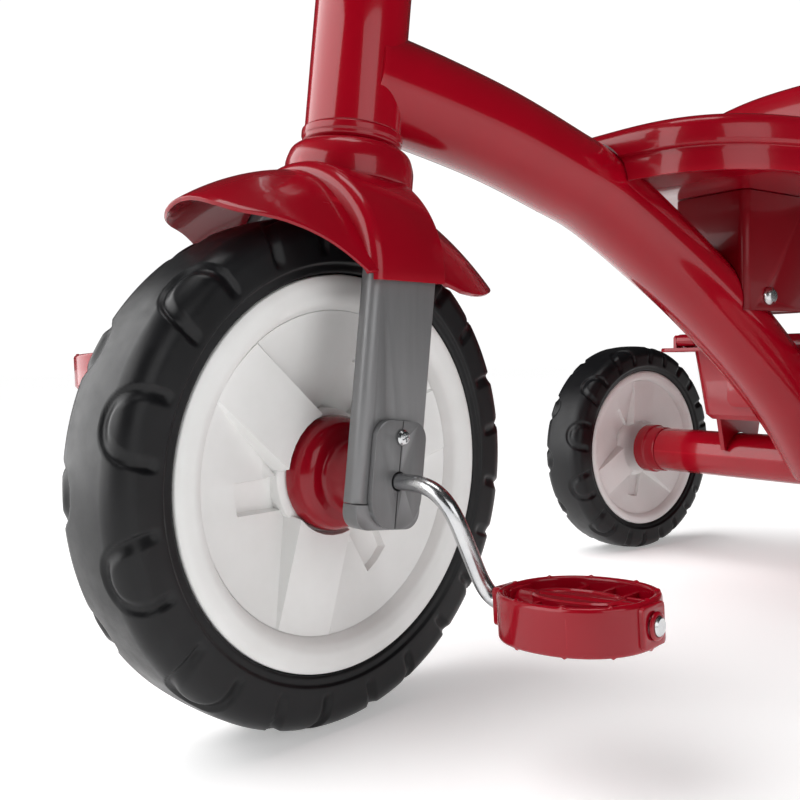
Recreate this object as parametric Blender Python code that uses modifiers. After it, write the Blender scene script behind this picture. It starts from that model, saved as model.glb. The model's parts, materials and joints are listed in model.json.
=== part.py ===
"""Children's pedal tricycle: curved main tube, steered front wheel with pedals, rear storage bin.

Metres, +Z up. The tricycle faces -Y and the rider's left is +X. The origin is on the ground,
under the middle of the whole object. The front assembly rests slightly steered to the left.
"""
from math import asin, cos, pi, radians, sin, sqrt, tan

import bmesh
import bpy
from mathutils import Quaternion, Vector

# ---------------------------------------------------------------- driving dimensions
GAP = 0.0003                    # clearance between touching pieces

FRONT_RADIUS = 0.127            # 10 inch front wheel
FRONT_TYRE_HALF = 0.026
FRONT_RIM_RADIUS = 0.098
FRONT_RIM_HALF = 0.0255
REAR_RADIUS = 0.0977
REAR_TYRE_HALF = 0.0217
REAR_RIM_RADIUS = 0.0737
REAR_RIM_HALF = 0.0200
REAR_WHEEL_X = 0.200
WHEELBASE = 0.471
FRONT_AXLE_Y = -WHEELBASE / 2
REAR_AXLE_Y = WHEELBASE / 2
FRONT_AXLE_Z = FRONT_RADIUS + 0.0003    # the turned wheel leans a little onto its shoulder
WHEEL_STEPS = 32                # facets around each wheel
ROUND_STEPS = 24                # facets around a tube, bush or cap
TUBE_BEVEL = 6                  # section fineness of the swept tubes

LEAN = radians(6.5)             # steering axis leans back
STEER_AT_REST = radians(11.0)   # front wheel turned to the rider's left
AXLE_OFFSET = 0.0073            # front axle ahead of the steering axis

HEAD_TUBE_RADIUS = 0.0250
HEAD_TUBE_BORE = 0.0210
HEAD_TUBE_BOTTOM = 0.1745       # along the steering axis, from axle height
HEAD_TUBE_TOP = 0.2640
MAIN_TUBE_RADIUS = 0.0270
MAIN_TUBE_WALL = 0.0020
STEERER_RADIUS = 0.0110
STEERER_BOTTOM = 0.1530
STEERER_TOP = 0.3760

LEG_INNER = 0.0480              # fork leg faces, from the centre plane
LEG_OUTER = 0.0570
LEG_HALF_WIDTH = 0.0209
LEG_CENTRE_Y = -0.0096          # ahead of the steering axis
LEG_BOTTOM = -0.0238
LEG_TOP = 0.1020
BOSS_HALF_WIDTH = 0.0166
BOSS_TOP = 0.0283               # above the axle
BOSS_THICKNESS = 0.0030
BOSS_SCREW_HEIGHT = 0.0205      # above the axle

ROD_RADIUS = 0.0040             # bent crank rod
HUB_CAP_END = 0.0465            # just inside the fork leg
CRANK_OUT = 0.0880              # where the rod bends down beside the leg
SPINDLE_START = 0.1000
SPINDLE_END = 0.1856
SPINDLE_TILT = radians(4.0)     # the ends of the rod lean in towards the axle
CRANK_DROP = 0.0520
CRANK_BEND = 0.0080
CRANK_BACK = 0.0180
PEDAL_CENTRE_X = 0.1480
PEDAL_HALF_X = 0.0340
PEDAL_HALF_Y = 0.0310
PEDAL_HALF_HEIGHT = 0.0100
PEDAL_CAP_X = 0.1834            # snap cap that holds the pedal on its spindle
PEDAL_CAP_RADIUS = 0.0058

FENDER_RADIUS = 0.1500          # crest arc about the front axle
FENDER_THICKNESS = 0.0025
SHROUD_HALF_WIDTH = 0.0610
SHROUD_BASE = 0.0960            # above the axle
SHROUD_RISE = 0.0580
SHROUD_HALF_DEPTH = 0.0235
SHROUD_WALL = 0.0015             # front and rear walls
SHROUD_Y = 0.0083               # middle of the shroud, behind the axle
YOKE_FOOT = 0.0100               # above the shroud's base
YOKE_HALF_DEPTH = 0.0205
YOKE_Y = 0.0080
COLLAR_RADIUS = 0.0335
COLLAR_TOP = 0.1660             # along the steering axis
COLLAR_BOTTOM = 0.1380          # inside the shroud

AXLE_TUBE_RADIUS = 0.0198
AXLE_TUBE_BORE = 0.0170
AXLE_TUBE_HALF = 0.1550
AXLE_ROD_RADIUS = 0.0050
COLLAR_END = 0.1775

SEAT_FRONT_Y = -0.0305
SEAT_LENGTH = 0.2620
SEAT_HALF_WIDTH = 0.1200
SEAT_RIM_Z = 0.3240
SEAT_PAN_Z = 0.3000
SEAT_SKIRT = 0.0330
BACKREST_RISE = 0.0810
SEAT_THICKNESS = 0.0025

BIN_FRONT_Y = 0.1965
BIN_REAR_Y = 0.3620
BIN_FLOOR_Z = 0.1310
BIN_TOP_Z = 0.1920
BIN_TOP_HALF = 0.1010
BIN_FLOOR_HALF = 0.0880
BIN_WALL = 0.0030
BRIM_HALF = 0.1290
BRIM_THICKNESS = 0.0030
LID_HALF = 0.1240
LID_HEIGHT = 0.0090
HINGE_Y = BIN_FRONT_Y - 0.0030
HINGE_Z = BIN_TOP_Z + 0.0063
KNUCKLE_X = 0.0990
KNUCKLE_RADIUS = 0.0052
HINGE_PIN_RADIUS = 0.0020

PEDESTAL_FRONT_Y = 0.0880
PEDESTAL_LENGTH = 0.0800
PEDESTAL_HALF_WIDTH = 0.0300
PEDESTAL_BOTTOM = 0.2150
BRACKET_HALF_WIDTH = 0.0600
SEAT_BOLT = (0.1145, 0.2250)    # y, z of the cross bolt

RED = (0.42, 0.004, 0.018)
DARK_RED = (0.25, 0.002, 0.010)
WHITE = (0.80, 0.80, 0.79)
GREY = (0.18, 0.18, 0.185)
BLACK = (0.012, 0.012, 0.013)
STEEL = (0.62, 0.62, 0.60)


# ---------------------------------------------------------------- scene and materials
def clear_scene():
    for item in list(bpy.data.objects):
        bpy.data.objects.remove(item, do_unlink=True)


def new_collection(name):
    collection = bpy.data.collections.new(name)
    bpy.context.scene.collection.children.link(collection)
    return collection


def new_material(name, colour, roughness, metallic=0.0):
    material = bpy.data.materials.new(name)
    material.use_nodes = True
    shader = material.node_tree.nodes["Principled BSDF"]
    shader.inputs["Base Color"].default_value = (*colour, 1.0)
    shader.inputs["Roughness"].default_value = roughness
    shader.inputs["Metallic"].default_value = metallic
    material.diffuse_color = (*colour, 1.0)
    return material


clear_scene()
PARTS = new_collection("childrens_tricycle")
CUTTERS = new_collection("cutters")

PAINT = new_material("red_paint", RED, 0.25)
RED_PLASTIC = new_material("red_plastic", RED, 0.30)
DARK_PLASTIC = new_material("dark_red_plastic", DARK_RED, 0.40)
WHITE_PLASTIC = new_material("white_plastic", WHITE, 0.40)
GREY_PAINT = new_material("grey_paint", GREY, 0.45)
TYRE = new_material("black_tyre", BLACK, 0.55)
GRIP = new_material("black_grip", BLACK, 0.70)
ZINC = new_material("zinc_steel", STEEL, 0.30, 1.0)


# ---------------------------------------------------------------- building helpers
def place(name, mesh, material, parent=None, location=(0, 0, 0), rotation=(0, 0, 0)):
    """Make a named part from a mesh."""
    item = bpy.data.objects.new(name, mesh)
    PARTS.objects.link(item)
    item.parent = parent
    item.location = location
    item.rotation_euler = rotation
    mesh.materials.append(material)
    return item


def as_cutter(item):
    """Move an object to the cutters and hide it from the model."""
    for collection in list(item.users_collection):
        collection.objects.unlink(item)
    CUTTERS.objects.link(item)
    item.hide_render = True
    item.display_type = "WIRE"
    return item


def combine(target, tool, operation="DIFFERENCE"):
    modifier = target.modifiers.new(operation.lower(), "BOOLEAN")
    modifier.operation = operation
    modifier.object = tool
    modifier.solver = "EXACT"
    as_cutter(tool)


def empty(name, parent=None, location=(0, 0, 0)):
    item = bpy.data.objects.new(name, None)
    PARTS.objects.link(item)
    item.parent = parent
    item.location = location
    item.empty_display_size = 0.02
    return item


def box_mesh(name, low, high):
    mesh = bpy.data.meshes.new(name)
    edit = bmesh.new()
    bmesh.ops.create_cube(edit, size=1.0)
    for vertex in edit.verts:
        for axis in range(3):
            side = vertex.co[axis] + 0.5
            vertex.co[axis] = low[axis] + side * (high[axis] - low[axis])
    edit.to_mesh(mesh)
    edit.free()
    return mesh


def box(name, material, low, high, parent=None):
    return place(name, box_mesh(name, low, high), material, parent)


def taper_below(item, centre_y, scale_x, rear_inset):
    """Draw in the lower corners of a box: narrower in X, and shorter at the rear."""
    floor = min(vertex.co.z for vertex in item.data.vertices)
    for vertex in item.data.vertices:
        if vertex.co.z < floor + 0.0001:
            vertex.co.x *= scale_x
            if vertex.co.y > centre_y:
                vertex.co.y -= rear_inset


def round_edges(item, width, segments=2, angle=30.0):
    modifier = item.modifiers.new("rounded", "BEVEL")
    modifier.width = width
    modifier.segments = segments
    modifier.limit_method = "ANGLE"
    modifier.angle_limit = radians(angle)


def turned(name, material, profile, closed, steps, parent=None, location=(0, 0, 0), along_x=False,
           facet_turn=0.0):
    """Turn a profile of (radius, height) points about local Z, or about X for wheels and bolts."""
    points = list(profile)
    area = sum(a[0] * b[1] - b[0] * a[1] for a, b in zip(points, points[1:] + points[:1]))
    if area > 0:
        points.reverse()
    mesh = bpy.data.meshes.new(name)
    edges = [(i, i + 1) for i in range(len(points) - 1)]
    if closed:
        edges.append((len(points) - 1, 0))
    start = Quaternion((0, 0, 1), facet_turn)
    mesh.from_pydata([start @ Vector((radius, 0, height)) for radius, height in points], edges, [])
    item = place(name, mesh, material, parent, location, (0, pi / 2, 0) if along_x else (0, 0, 0))
    screw = item.modifiers.new("turned", "SCREW")
    screw.steps = steps
    screw.render_steps = steps
    screw.use_merge_vertices = True
    screw.merge_threshold = 0.00001
    screw.use_smooth_shade = False
    return item


def cylinder(name, material, radius, start, end, steps=24, parent=None, location=(0, 0, 0),
             along_x=False):
    profile = [(0, end), (radius, end), (radius, start), (0, start)]
    return turned(name, material, profile, False, steps, parent, location, along_x)


def tube(name, material, outer, inner, start, end, steps=28, parent=None, location=(0, 0, 0),
         along_x=False):
    profile = [(inner, end), (outer, end), (outer, start), (inner, start)]
    return turned(name, material, profile, True, steps, parent, location, along_x)


def rounded_path(corners, radius, steps=4):
    """Replace each inner corner of a bent rod with points on a smooth bend."""
    points = [Vector(corners[0])]
    for before, corner, after in zip(corners, corners[1:], corners[2:]):
        corner = Vector(corner)
        start = corner + (Vector(before) - corner).normalized() * radius
        end = corner + (Vector(after) - corner).normalized() * radius
        for step in range(steps + 1):
            t = step / steps
            points.append(start * (1 - t) ** 2 + corner * (2 * t * (1 - t)) + end * t ** 2)
    points.append(Vector(corners[-1]))
    return points


def mesh_of_curve(name, curve):
    """Turn a bevelled curve into a mesh with its caps welded on."""
    helper = bpy.data.objects.new(name + "_curve", curve)
    CUTTERS.objects.link(helper)
    bpy.context.view_layer.update()
    evaluated = helper.evaluated_get(bpy.context.evaluated_depsgraph_get())
    mesh = bpy.data.meshes.new_from_object(evaluated)
    bpy.data.objects.remove(helper, do_unlink=True)
    edit = bmesh.new()
    edit.from_mesh(mesh)
    bmesh.ops.remove_doubles(edit, verts=edit.verts, dist=0.00001)
    bmesh.ops.recalc_face_normals(edit, faces=edit.faces)
    edit.to_mesh(mesh)
    edit.free()
    mesh.materials.clear()
    return mesh


def rod_mesh(name, points, radius, sides_setting):
    """Sweep a round section along a list of points."""
    curve = bpy.data.curves.new(name, "CURVE")
    curve.dimensions = "3D"
    curve.bevel_depth = radius
    curve.bevel_resolution = sides_setting
    curve.use_fill_caps = True
    spline = curve.splines.new("POLY")
    spline.points.add(len(points) - 1)
    for place_in_line, point in zip(spline.points, points):
        place_in_line.co = (*point, 1.0)
    return mesh_of_curve(name, curve)


def outline_mesh(name, loops, half_thickness):
    """Fill flat closed loops of (x, y) points and give them thickness about z = 0."""
    curve = bpy.data.curves.new(name, "CURVE")
    curve.dimensions = "2D"
    curve.fill_mode = "BOTH"
    curve.extrude = half_thickness
    for loop in loops:
        spline = curve.splines.new("POLY")
        spline.points.add(len(loop) - 1)
        spline.use_cyclic_u = True
        for corner, (x, y) in zip(spline.points, loop):
            corner.co = (x, y, 0.0, 1.0)
    return mesh_of_curve(name, curve)


def smooth_line(points, steps):
    """A Catmull-Rom line through its points."""
    guide = [Vector(point) for point in points]
    guide = [guide[0] * 2 - guide[1]] + guide + [guide[-1] * 2 - guide[-2]]
    line = []
    for a, b, c, d in zip(guide, guide[1:], guide[2:], guide[3:]):
        for step in range(steps):
            t = step / steps
            line.append(0.5 * (2 * b + (c - a) * t + (2 * a - 5 * b + 4 * c - d) * t ** 2
                               + (3 * b - a - 3 * c + d) * t ** 3))
    line.append(guide[-2])
    return line


def grid_shell(name, material, rows, thickness, parent=None, location=(0, 0, 0), cyclic=False,
               pole=None):
    """An open sheet through rows of points, thickened inwards. A pole closes the first row."""
    mesh = bpy.data.meshes.new(name)
    edit = bmesh.new()
    grid = [[edit.verts.new(point) for point in row] for row in rows]
    last = len(rows[0]) if cyclic else len(rows[0]) - 1
    for upper, lower in zip(grid, grid[1:]):
        for i in range(last):
            j = (i + 1) % len(upper)
            edit.faces.new((upper[i], upper[j], lower[j], lower[i]))
    if pole is not None:
        centre = edit.verts.new(pole)
        for i in range(last):
            edit.faces.new((grid[0][(i + 1) % len(grid[0])], grid[0][i], centre))
    bmesh.ops.recalc_face_normals(edit, faces=edit.faces)
    if sum(face.normal.z * face.calc_area() for face in edit.faces) < 0:
        bmesh.ops.reverse_faces(edit, faces=edit.faces)
    edit.to_mesh(mesh)
    edit.free()
    item = place(name, mesh, material, parent, location)
    shell = item.modifiers.new("thickness", "SOLIDIFY")
    shell.thickness = thickness
    shell.offset = -1.0
    shell.use_even_offset = True
    return item


# ---------------------------------------------------------------- joint frames
STEER_AXIS = Vector((0, sin(LEAN), cos(LEAN)))
steering_axis = empty("steering_axis", None, (0, FRONT_AXLE_Y + AXLE_OFFSET, FRONT_AXLE_Z))
steering_axis.rotation_mode = "QUATERNION"
steering_axis.rotation_quaternion = Quaternion(STEER_AXIS, STEER_AT_REST)
column = empty("steering_column", steering_axis)
column.rotation_euler = (-LEAN, 0, 0)
front_axle = empty("front_axle", steering_axis, (0, -AXLE_OFFSET, 0))
head_frame = empty("head_frame", None, (0, FRONT_AXLE_Y + AXLE_OFFSET, FRONT_AXLE_Z))
head_frame.rotation_euler = (-LEAN, 0, 0)
rear_axle = empty("rear_axle", None, (0, REAR_AXLE_Y, REAR_RADIUS))
lid_hinge = empty("lid_hinge", None, (0, HINGE_Y, HINGE_Z))
AXLE_IN_COLUMN = Vector((0, -AXLE_OFFSET * cos(LEAN), -AXLE_OFFSET * sin(LEAN)))


# ---------------------------------------------------------------- frame
def main_tube_line():
    """Centre line: nearly level behind the head tube, then steeper down to the rear axle."""
    knots = [(0.030, 0.3305), (0.0780, 0.3225), (0.1256, 0.3124), (0.1716, 0.2990),
             (0.2100, 0.2860), (0.2645, 0.2576), (0.3180, 0.2260), (0.3740, 0.1880),
             (0.4260, 0.1460), (0.4700, 0.1010)]
    return smooth_line([(0, FRONT_AXLE_Y + y, z) for y, z in knots], 2)


def main_tube_cutter(name, clearance=0.0005):
    mesh = rod_mesh(name, main_tube_line(), MAIN_TUBE_RADIUS + clearance, TUBE_BEVEL)
    return place(name, mesh, PAINT)


def make_head():
    tube("head_tube", PAINT, HEAD_TUBE_RADIUS, HEAD_TUBE_BORE, HEAD_TUBE_BOTTOM, HEAD_TUBE_TOP,
         ROUND_STEPS, head_frame)
    ends = (("lower", HEAD_TUBE_BOTTOM, -1), ("upper", HEAD_TUBE_TOP, 1))
    for end_name, edge, outward in ends:
        sleeve_radius = HEAD_TUBE_BORE - GAP
        bore = STEERER_RADIUS + GAP
        flange = HEAD_TUBE_RADIUS + 0.0014
        face = edge + outward * GAP
        profile = [(bore, edge - outward * 0.020), (sleeve_radius, edge - outward * 0.020),
                   (sleeve_radius, face), (flange, face), (flange, face + outward * 0.0060),
                   (flange - 0.0020, face + outward * 0.0078), (bore, face + outward * 0.0078)]
        turned("head_bushing_" + end_name, RED_PLASTIC, profile, True, ROUND_STEPS, head_frame)


def make_main_tube():
    """Steel tube with a thin wall, shaped to the head tube in front and the axle tube behind."""
    item = place("main_tube", rod_mesh("main_tube", main_tube_line(), MAIN_TUBE_RADIUS, TUBE_BEVEL), PAINT)
    combine(item, main_tube_cutter("main_tube_bore", -MAIN_TUBE_WALL))
    combine(item, cylinder("head_cope", PAINT, HEAD_TUBE_RADIUS + GAP, 0.10, 0.32, ROUND_STEPS, head_frame))
    combine(item, cylinder("axle_cope", PAINT, AXLE_TUBE_RADIUS + GAP, -0.05, 0.05, ROUND_STEPS, rear_axle,
                           along_x=True))
    combine(item, cylinder("seat_bolt_hole", PAINT, 0.0033, -0.05, 0.05, 16,
                           location=(0, *SEAT_BOLT), along_x=True))


def make_rear_axle():
    tube("rear_axle_tube", PAINT, AXLE_TUBE_RADIUS, AXLE_TUBE_BORE, -AXLE_TUBE_HALF, AXLE_TUBE_HALF,
         ROUND_STEPS, rear_axle, along_x=True)
    rod_half = REAR_WHEEL_X + REAR_RIM_HALF - 0.004
    cylinder("rear_axle_rod", ZINC, AXLE_ROD_RADIUS, -rod_half, rod_half, 16, rear_axle,
             along_x=True)
    for side_name, side in (("left", 1), ("right", -1)):
        bore = AXLE_ROD_RADIUS + GAP
        tube_end = side * (AXLE_TUBE_HALF + GAP)
        profile = [(bore, tube_end - side * 0.012), (AXLE_TUBE_BORE - GAP, tube_end - side * 0.012),
                   (AXLE_TUBE_BORE - GAP, tube_end), (0.0206, tube_end),
                   (0.0210, side * 0.164), (0.0224, side * 0.167),
                   (0.0224, side * COLLAR_END), (bore, side * COLLAR_END)]
        turned("axle_collar_" + side_name, RED_PLASTIC, profile, True, ROUND_STEPS, rear_axle,
               along_x=True)
        washer_start = side * (REAR_WHEEL_X + 0.0105)
        tube("axle_retainer_" + side_name, ZINC, 0.0095, bore, washer_start,
             washer_start + side * 0.0015, 12, rear_axle, along_x=True)


def seat_outline(angle, inset):
    """Plan of the seat at an angle: blunt nose, widening to the backrest."""
    power = 2 / 3.5
    across = abs(cos(angle)) ** power * (1 if cos(angle) >= 0 else -1)
    along = abs(sin(angle)) ** power * (1 if sin(angle) >= 0 else -1)
    half_length = SEAT_LENGTH / 2
    y = SEAT_FRONT_Y + half_length + (half_length - inset) * along
    taper = 0.80 + 0.20 * min(1.0, max(0.0, (y - SEAT_FRONT_Y) / 0.195))
    return (SEAT_HALF_WIDTH - inset) * taper * across, y


def seat_rim_height(y):
    back = max(0.0, (y - SEAT_FRONT_Y - 0.115) / (SEAT_LENGTH - 0.115))
    return SEAT_RIM_Z + BACKREST_RISE * back ** 1.6


def seat_pan_height(y):
    nose = max(0.0, (SEAT_FRONT_Y + 0.085 - y) / 0.075)
    return SEAT_PAN_Z + 0.022 * min(1.0, nose) ** 1.3


def make_seat():
    """A bucket: flat pan, sides curving up to a rolled rim, and a skirt around the outside."""
    around = 32
    angles = [2 * pi * i / around for i in range(around)]
    rows = []
    for inset, climb in ((0.064, 0.0), (0.038, 0.06), (0.024, 0.40), (0.0165, 0.88), (0.0110, 1.0)):
        row = []
        for angle in angles:
            x, y = seat_outline(angle, inset)
            pan = seat_pan_height(y)
            row.append((x, y, pan + climb * (seat_rim_height(y) - pan)))
        rows.append(row)
    for drop, inset in ((0.0005, 0.0060), (0.0035, 0.0015), (0.0100, 0.0), (SEAT_SKIRT, 0.0020)):
        row = []
        for angle in angles:
            x, y = seat_outline(angle, inset)
            row.append((x, y, seat_rim_height(y) - drop))
        rows.append(row)
    middle = SEAT_FRONT_Y + SEAT_LENGTH / 2
    item = grid_shell("seat_shell", RED_PLASTIC, rows, SEAT_THICKNESS, cyclic=True,
                      pole=(0, middle, SEAT_PAN_Z))
    combine(item, main_tube_cutter("seat_notch", 0.0008))
    return item


def make_seat_mount(seat):
    rear_y = PEDESTAL_FRONT_Y + PEDESTAL_LENGTH
    top = SEAT_PAN_Z - SEAT_THICKNESS - 0.0006
    half = PEDESTAL_HALF_WIDTH
    pedestal = box("seat_pedestal", DARK_PLASTIC, (-half, PEDESTAL_FRONT_Y, PEDESTAL_BOTTOM),
                   (half, rear_y, top))
    combine(pedestal, main_tube_cutter("pedestal_notch"))
    combine(pedestal, cylinder("pedestal_bolt_hole", PAINT, 0.0033, -0.05, 0.05, 16,
                               location=(0, *SEAT_BOLT), along_x=True))
    head = half + GAP
    bolt = [(0, head + 0.004), (0.0045, head + 0.004), (0.0065, head + 0.001), (0.0065, head),
            (0.0030, head), (0.0030, -head - 0.007), (0, -head - 0.007)]
    turned("seat_bolt", ZINC, bolt, False, 12, None, (0, *SEAT_BOLT), along_x=True)
    tube("seat_bolt_nut", ZINC, 0.0064, 0.0038, -head - 0.005, -head, 6, None, (0, *SEAT_BOLT),
         along_x=True)
    for place_name, y in (("front", PEDESTAL_FRONT_Y + 0.022), ("rear", rear_y - 0.018)):
        seat_top = SEAT_PAN_Z + GAP
        screw = [(0, 0.0022), (0.0025, 0.0022), (0.0045, 0.0006), (0.0045, 0), (0.0020, 0),
                 (0.0020, -0.016), (0, -0.016)]
        turned("seat_screw_" + place_name, ZINC, screw, False, 12, None, (0, y, seat_top))
        for target in (seat, pedestal):
            hole = cylinder("seat_screw_hole_" + place_name + "_" + target.name, PAINT, 0.0023,
                            -0.018, 0.010, 14, location=(0, y, seat_top))
            combine(target, hole)


def make_bin():
    """Open box over the rear axle, with a tunnel for the main tube and saddles on the axle tube."""
    item = box("storage_bin", RED_PLASTIC, (-BIN_TOP_HALF, BIN_FRONT_Y, BIN_FLOOR_Z),
               (BIN_TOP_HALF, BIN_REAR_Y, BIN_TOP_Z))
    taper_below(item, BIN_FRONT_Y + 0.01, BIN_FLOOR_HALF / BIN_TOP_HALF, 0.010)
    brim = box("bin_brim", RED_PLASTIC, (-BRIM_HALF, BIN_FRONT_Y - 0.008, BIN_TOP_Z - BRIM_THICKNESS),
               (BRIM_HALF, BIN_REAR_Y + 0.0032, BIN_TOP_Z - 0.0001))
    combine(item, brim, "UNION")
    for side in (1, -1):
        saddle_x = side * 0.078
        saddle = box("saddle", RED_PLASTIC, (saddle_x - 0.002, REAR_AXLE_Y - 0.029, 0.1030),
                     (saddle_x + 0.002, REAR_AXLE_Y + 0.029, BIN_FLOOR_Z + 0.001))
        for vertex in saddle.data.vertices:
            if vertex.co.z < 0.104:
                vertex.co.y = REAR_AXLE_Y + (vertex.co.y - REAR_AXLE_Y) * 0.82
        combine(item, saddle, "UNION")
        ear_x = side * (KNUCKLE_X + 0.0105)
        ear = box("hinge_ear", RED_PLASTIC, (ear_x - 0.0015, HINGE_Y - 0.0045, BIN_TOP_Z - 0.001),
                  (ear_x + 0.0015, HINGE_Y + 0.0045, HINGE_Z + 0.0045))
        combine(item, ear, "UNION")
    inside = box("bin_inside", RED_PLASTIC,
                 (-BIN_TOP_HALF + BIN_WALL, BIN_FRONT_Y + BIN_WALL, BIN_FLOOR_Z + BIN_WALL),
                 (BIN_TOP_HALF - BIN_WALL, BIN_REAR_Y - BIN_WALL, BIN_TOP_Z + 0.010))
    taper_below(inside, BIN_FRONT_Y + 0.01, BIN_FLOOR_HALF / BIN_TOP_HALF, 0.010)
    tunnel_half = MAIN_TUBE_RADIUS + 0.0012
    tunnel_rear = REAR_AXLE_Y + 0.024
    tunnel_top = 0.1775
    tunnel_walls = box("tunnel_walls", RED_PLASTIC,
                       (-tunnel_half - BIN_WALL, BIN_FRONT_Y - 0.01, 0.100),
                       (tunnel_half + BIN_WALL, tunnel_rear + BIN_WALL, tunnel_top + BIN_WALL))
    combine(inside, tunnel_walls)
    combine(item, inside)
    tunnel = box("tunnel", RED_PLASTIC, (-tunnel_half, BIN_FRONT_Y - 0.01, 0.090),
                 (tunnel_half, tunnel_rear, tunnel_top))
    combine(item, tunnel)
    combine(item, cylinder("saddle_seat", RED_PLASTIC, AXLE_TUBE_RADIUS + 0.0004, -0.12, 0.12, ROUND_STEPS,
                           rear_axle, along_x=True))
    combine(item, cylinder("ear_bore", RED_PLASTIC, HINGE_PIN_RADIUS + GAP, -0.13, 0.13, 12,
                           lid_hinge, along_x=True))
    return item


def screw_along_y(name, location, length):
    """Pan-head screw whose head faces -Y."""
    profile = [(0, 0.0030), (0.0032, 0.0028), (0.0058, 0.0012), (0.0060, 0), (0.0022, 0),
               (0.0022, -length), (0, -length)]
    item = turned(name, ZINC, profile, False, 16, None, location)
    item.rotation_euler = (pi / 2, 0, 0)


def make_bin_brackets(storage_bin):
    """A steel flange welded to each side of the main tube, with the screw that holds the bin."""
    rear = BIN_FRONT_Y - GAP
    front = rear - 0.0030
    for side_name, side in (("left", 1), ("right", -1)):
        inner, outer = sorted((side * 0.0200, side * BRACKET_HALF_WIDTH))
        plate = box("bin_bracket_" + side_name, PAINT, (inner, front, 0.1420),
                    (outer, rear, 0.1760))
        combine(plate, main_tube_cutter("bracket_notch_" + side_name))
        spot = (side * 0.044, front - GAP, 0.1600)
        screw_along_y("bin_screw_" + side_name, spot, 0.012)
        for target in (plate, storage_bin):
            hole = cylinder("bin_screw_hole_" + side_name + "_" + target.name, PAINT, 0.0025,
                            -0.014, 0.010, 12, location=spot)
            hole.rotation_euler = (pi / 2, 0, 0)
            combine(target, hole)


def make_lid():
    """Shallow lid that lies on the brim and turns up about two pins at its front corners."""
    bottom = BIN_TOP_Z + GAP - HINGE_Z
    front = 0.0070
    rear = BIN_REAR_Y - HINGE_Y
    item = box("bin_lid", RED_PLASTIC, (-LID_HALF, front, bottom), (LID_HALF, rear, bottom + LID_HEIGHT),
               lid_hinge)
    for vertex in item.data.vertices:
        if vertex.co.z > bottom + 0.001:
            vertex.co.x *= 0.95
            vertex.co.y = front + (vertex.co.y - front) * 0.96 + 0.002
    inside = box("lid_inside", RED_PLASTIC, (-LID_HALF + 0.010, front + 0.006, bottom - 0.010),
                 (LID_HALF - 0.010, rear - 0.012, bottom + LID_HEIGHT - 0.0028), lid_hinge)
    combine(item, inside)
    for side in (1, -1):
        knuckle_x = side * KNUCKLE_X
        knuckle = cylinder("knuckle", RED_PLASTIC, KNUCKLE_RADIUS, -0.0085, 0.0085, 16, lid_hinge,
                           (knuckle_x, 0, 0), along_x=True)
        combine(item, knuckle, "UNION")
        arm = box("knuckle_arm", RED_PLASTIC, (knuckle_x - 0.0085, 0.0, -0.0020),
                  (knuckle_x + 0.0085, 0.0125, 0.0030), lid_hinge)
        combine(item, arm, "UNION")
    combine(item, cylinder("knuckle_bore", RED_PLASTIC, HINGE_PIN_RADIUS + GAP, -0.13, 0.13, 12,
                           lid_hinge, along_x=True))
    for side_name, side in (("left", 1), ("right", -1)):
        start = side * (KNUCKLE_X - 0.0070)
        end = side * (KNUCKLE_X + 0.0135)
        cylinder("lid_pin_" + side_name, ZINC, HINGE_PIN_RADIUS, min(start, end), max(start, end), 12,
                 lid_hinge, along_x=True)


# ---------------------------------------------------------------- steered assembly
def arch_above(half_width, rise, foot, count):
    """Points of a half ellipse from the right foot over to the left, starting at a foot height."""
    start = asin(foot / rise)
    angles = [start + (pi - 2 * start) * i / count for i in range(count + 1)]
    return [(half_width * cos(angle), rise * sin(angle)) for angle in angles]


def make_steerer():
    """Steering tube, and the arched yoke over the tyre that joins it to the two legs."""
    cylinder("steerer", ZINC, STEERER_RADIUS, STEERER_BOTTOM, STEERER_TOP, ROUND_STEPS, column)
    outer = arch_above(0.0560, 0.0545, YOKE_FOOT, 12)
    inner = arch_above(0.0440, 0.0400, YOKE_FOOT, 12)
    mesh = outline_mesh("fork_yoke", [outer + inner[::-1]], YOKE_HALF_DEPTH)
    place("fork_yoke", mesh, GREY_PAINT, front_axle, (0, YOKE_Y, SHROUD_BASE), (pi / 2, 0, 0))


def boss_outline(bottom, low_y, high_y):
    """Bushing boss in (y, s): rounded top corners and a rounder foot, cut to low_y..high_y."""
    loop = []
    for corner_y, corner_s, radius, start in ((1, BOSS_TOP, 0.0090, 0.0), (-1, BOSS_TOP, 0.0090, pi / 2),
                                              (-1, bottom, 0.0130, pi), (1, bottom, 0.0130, 1.5 * pi)):
        centre_y = corner_y * (BOSS_HALF_WIDTH - radius)
        centre_s = corner_s - radius if corner_s > 0 else corner_s + radius
        for step in range(5):
            angle = start + pi / 8 * step
            y = centre_y + radius * cos(angle)
            loop.append((min(high_y, max(low_y, y)), centre_s + radius * sin(angle)))
    cleaned = [loop[0]]
    for point in loop[1:]:
        if (Vector(point) - Vector(cleaned[-1])).length > 0.0004:
            cleaned.append(point)
    return cleaned


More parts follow.
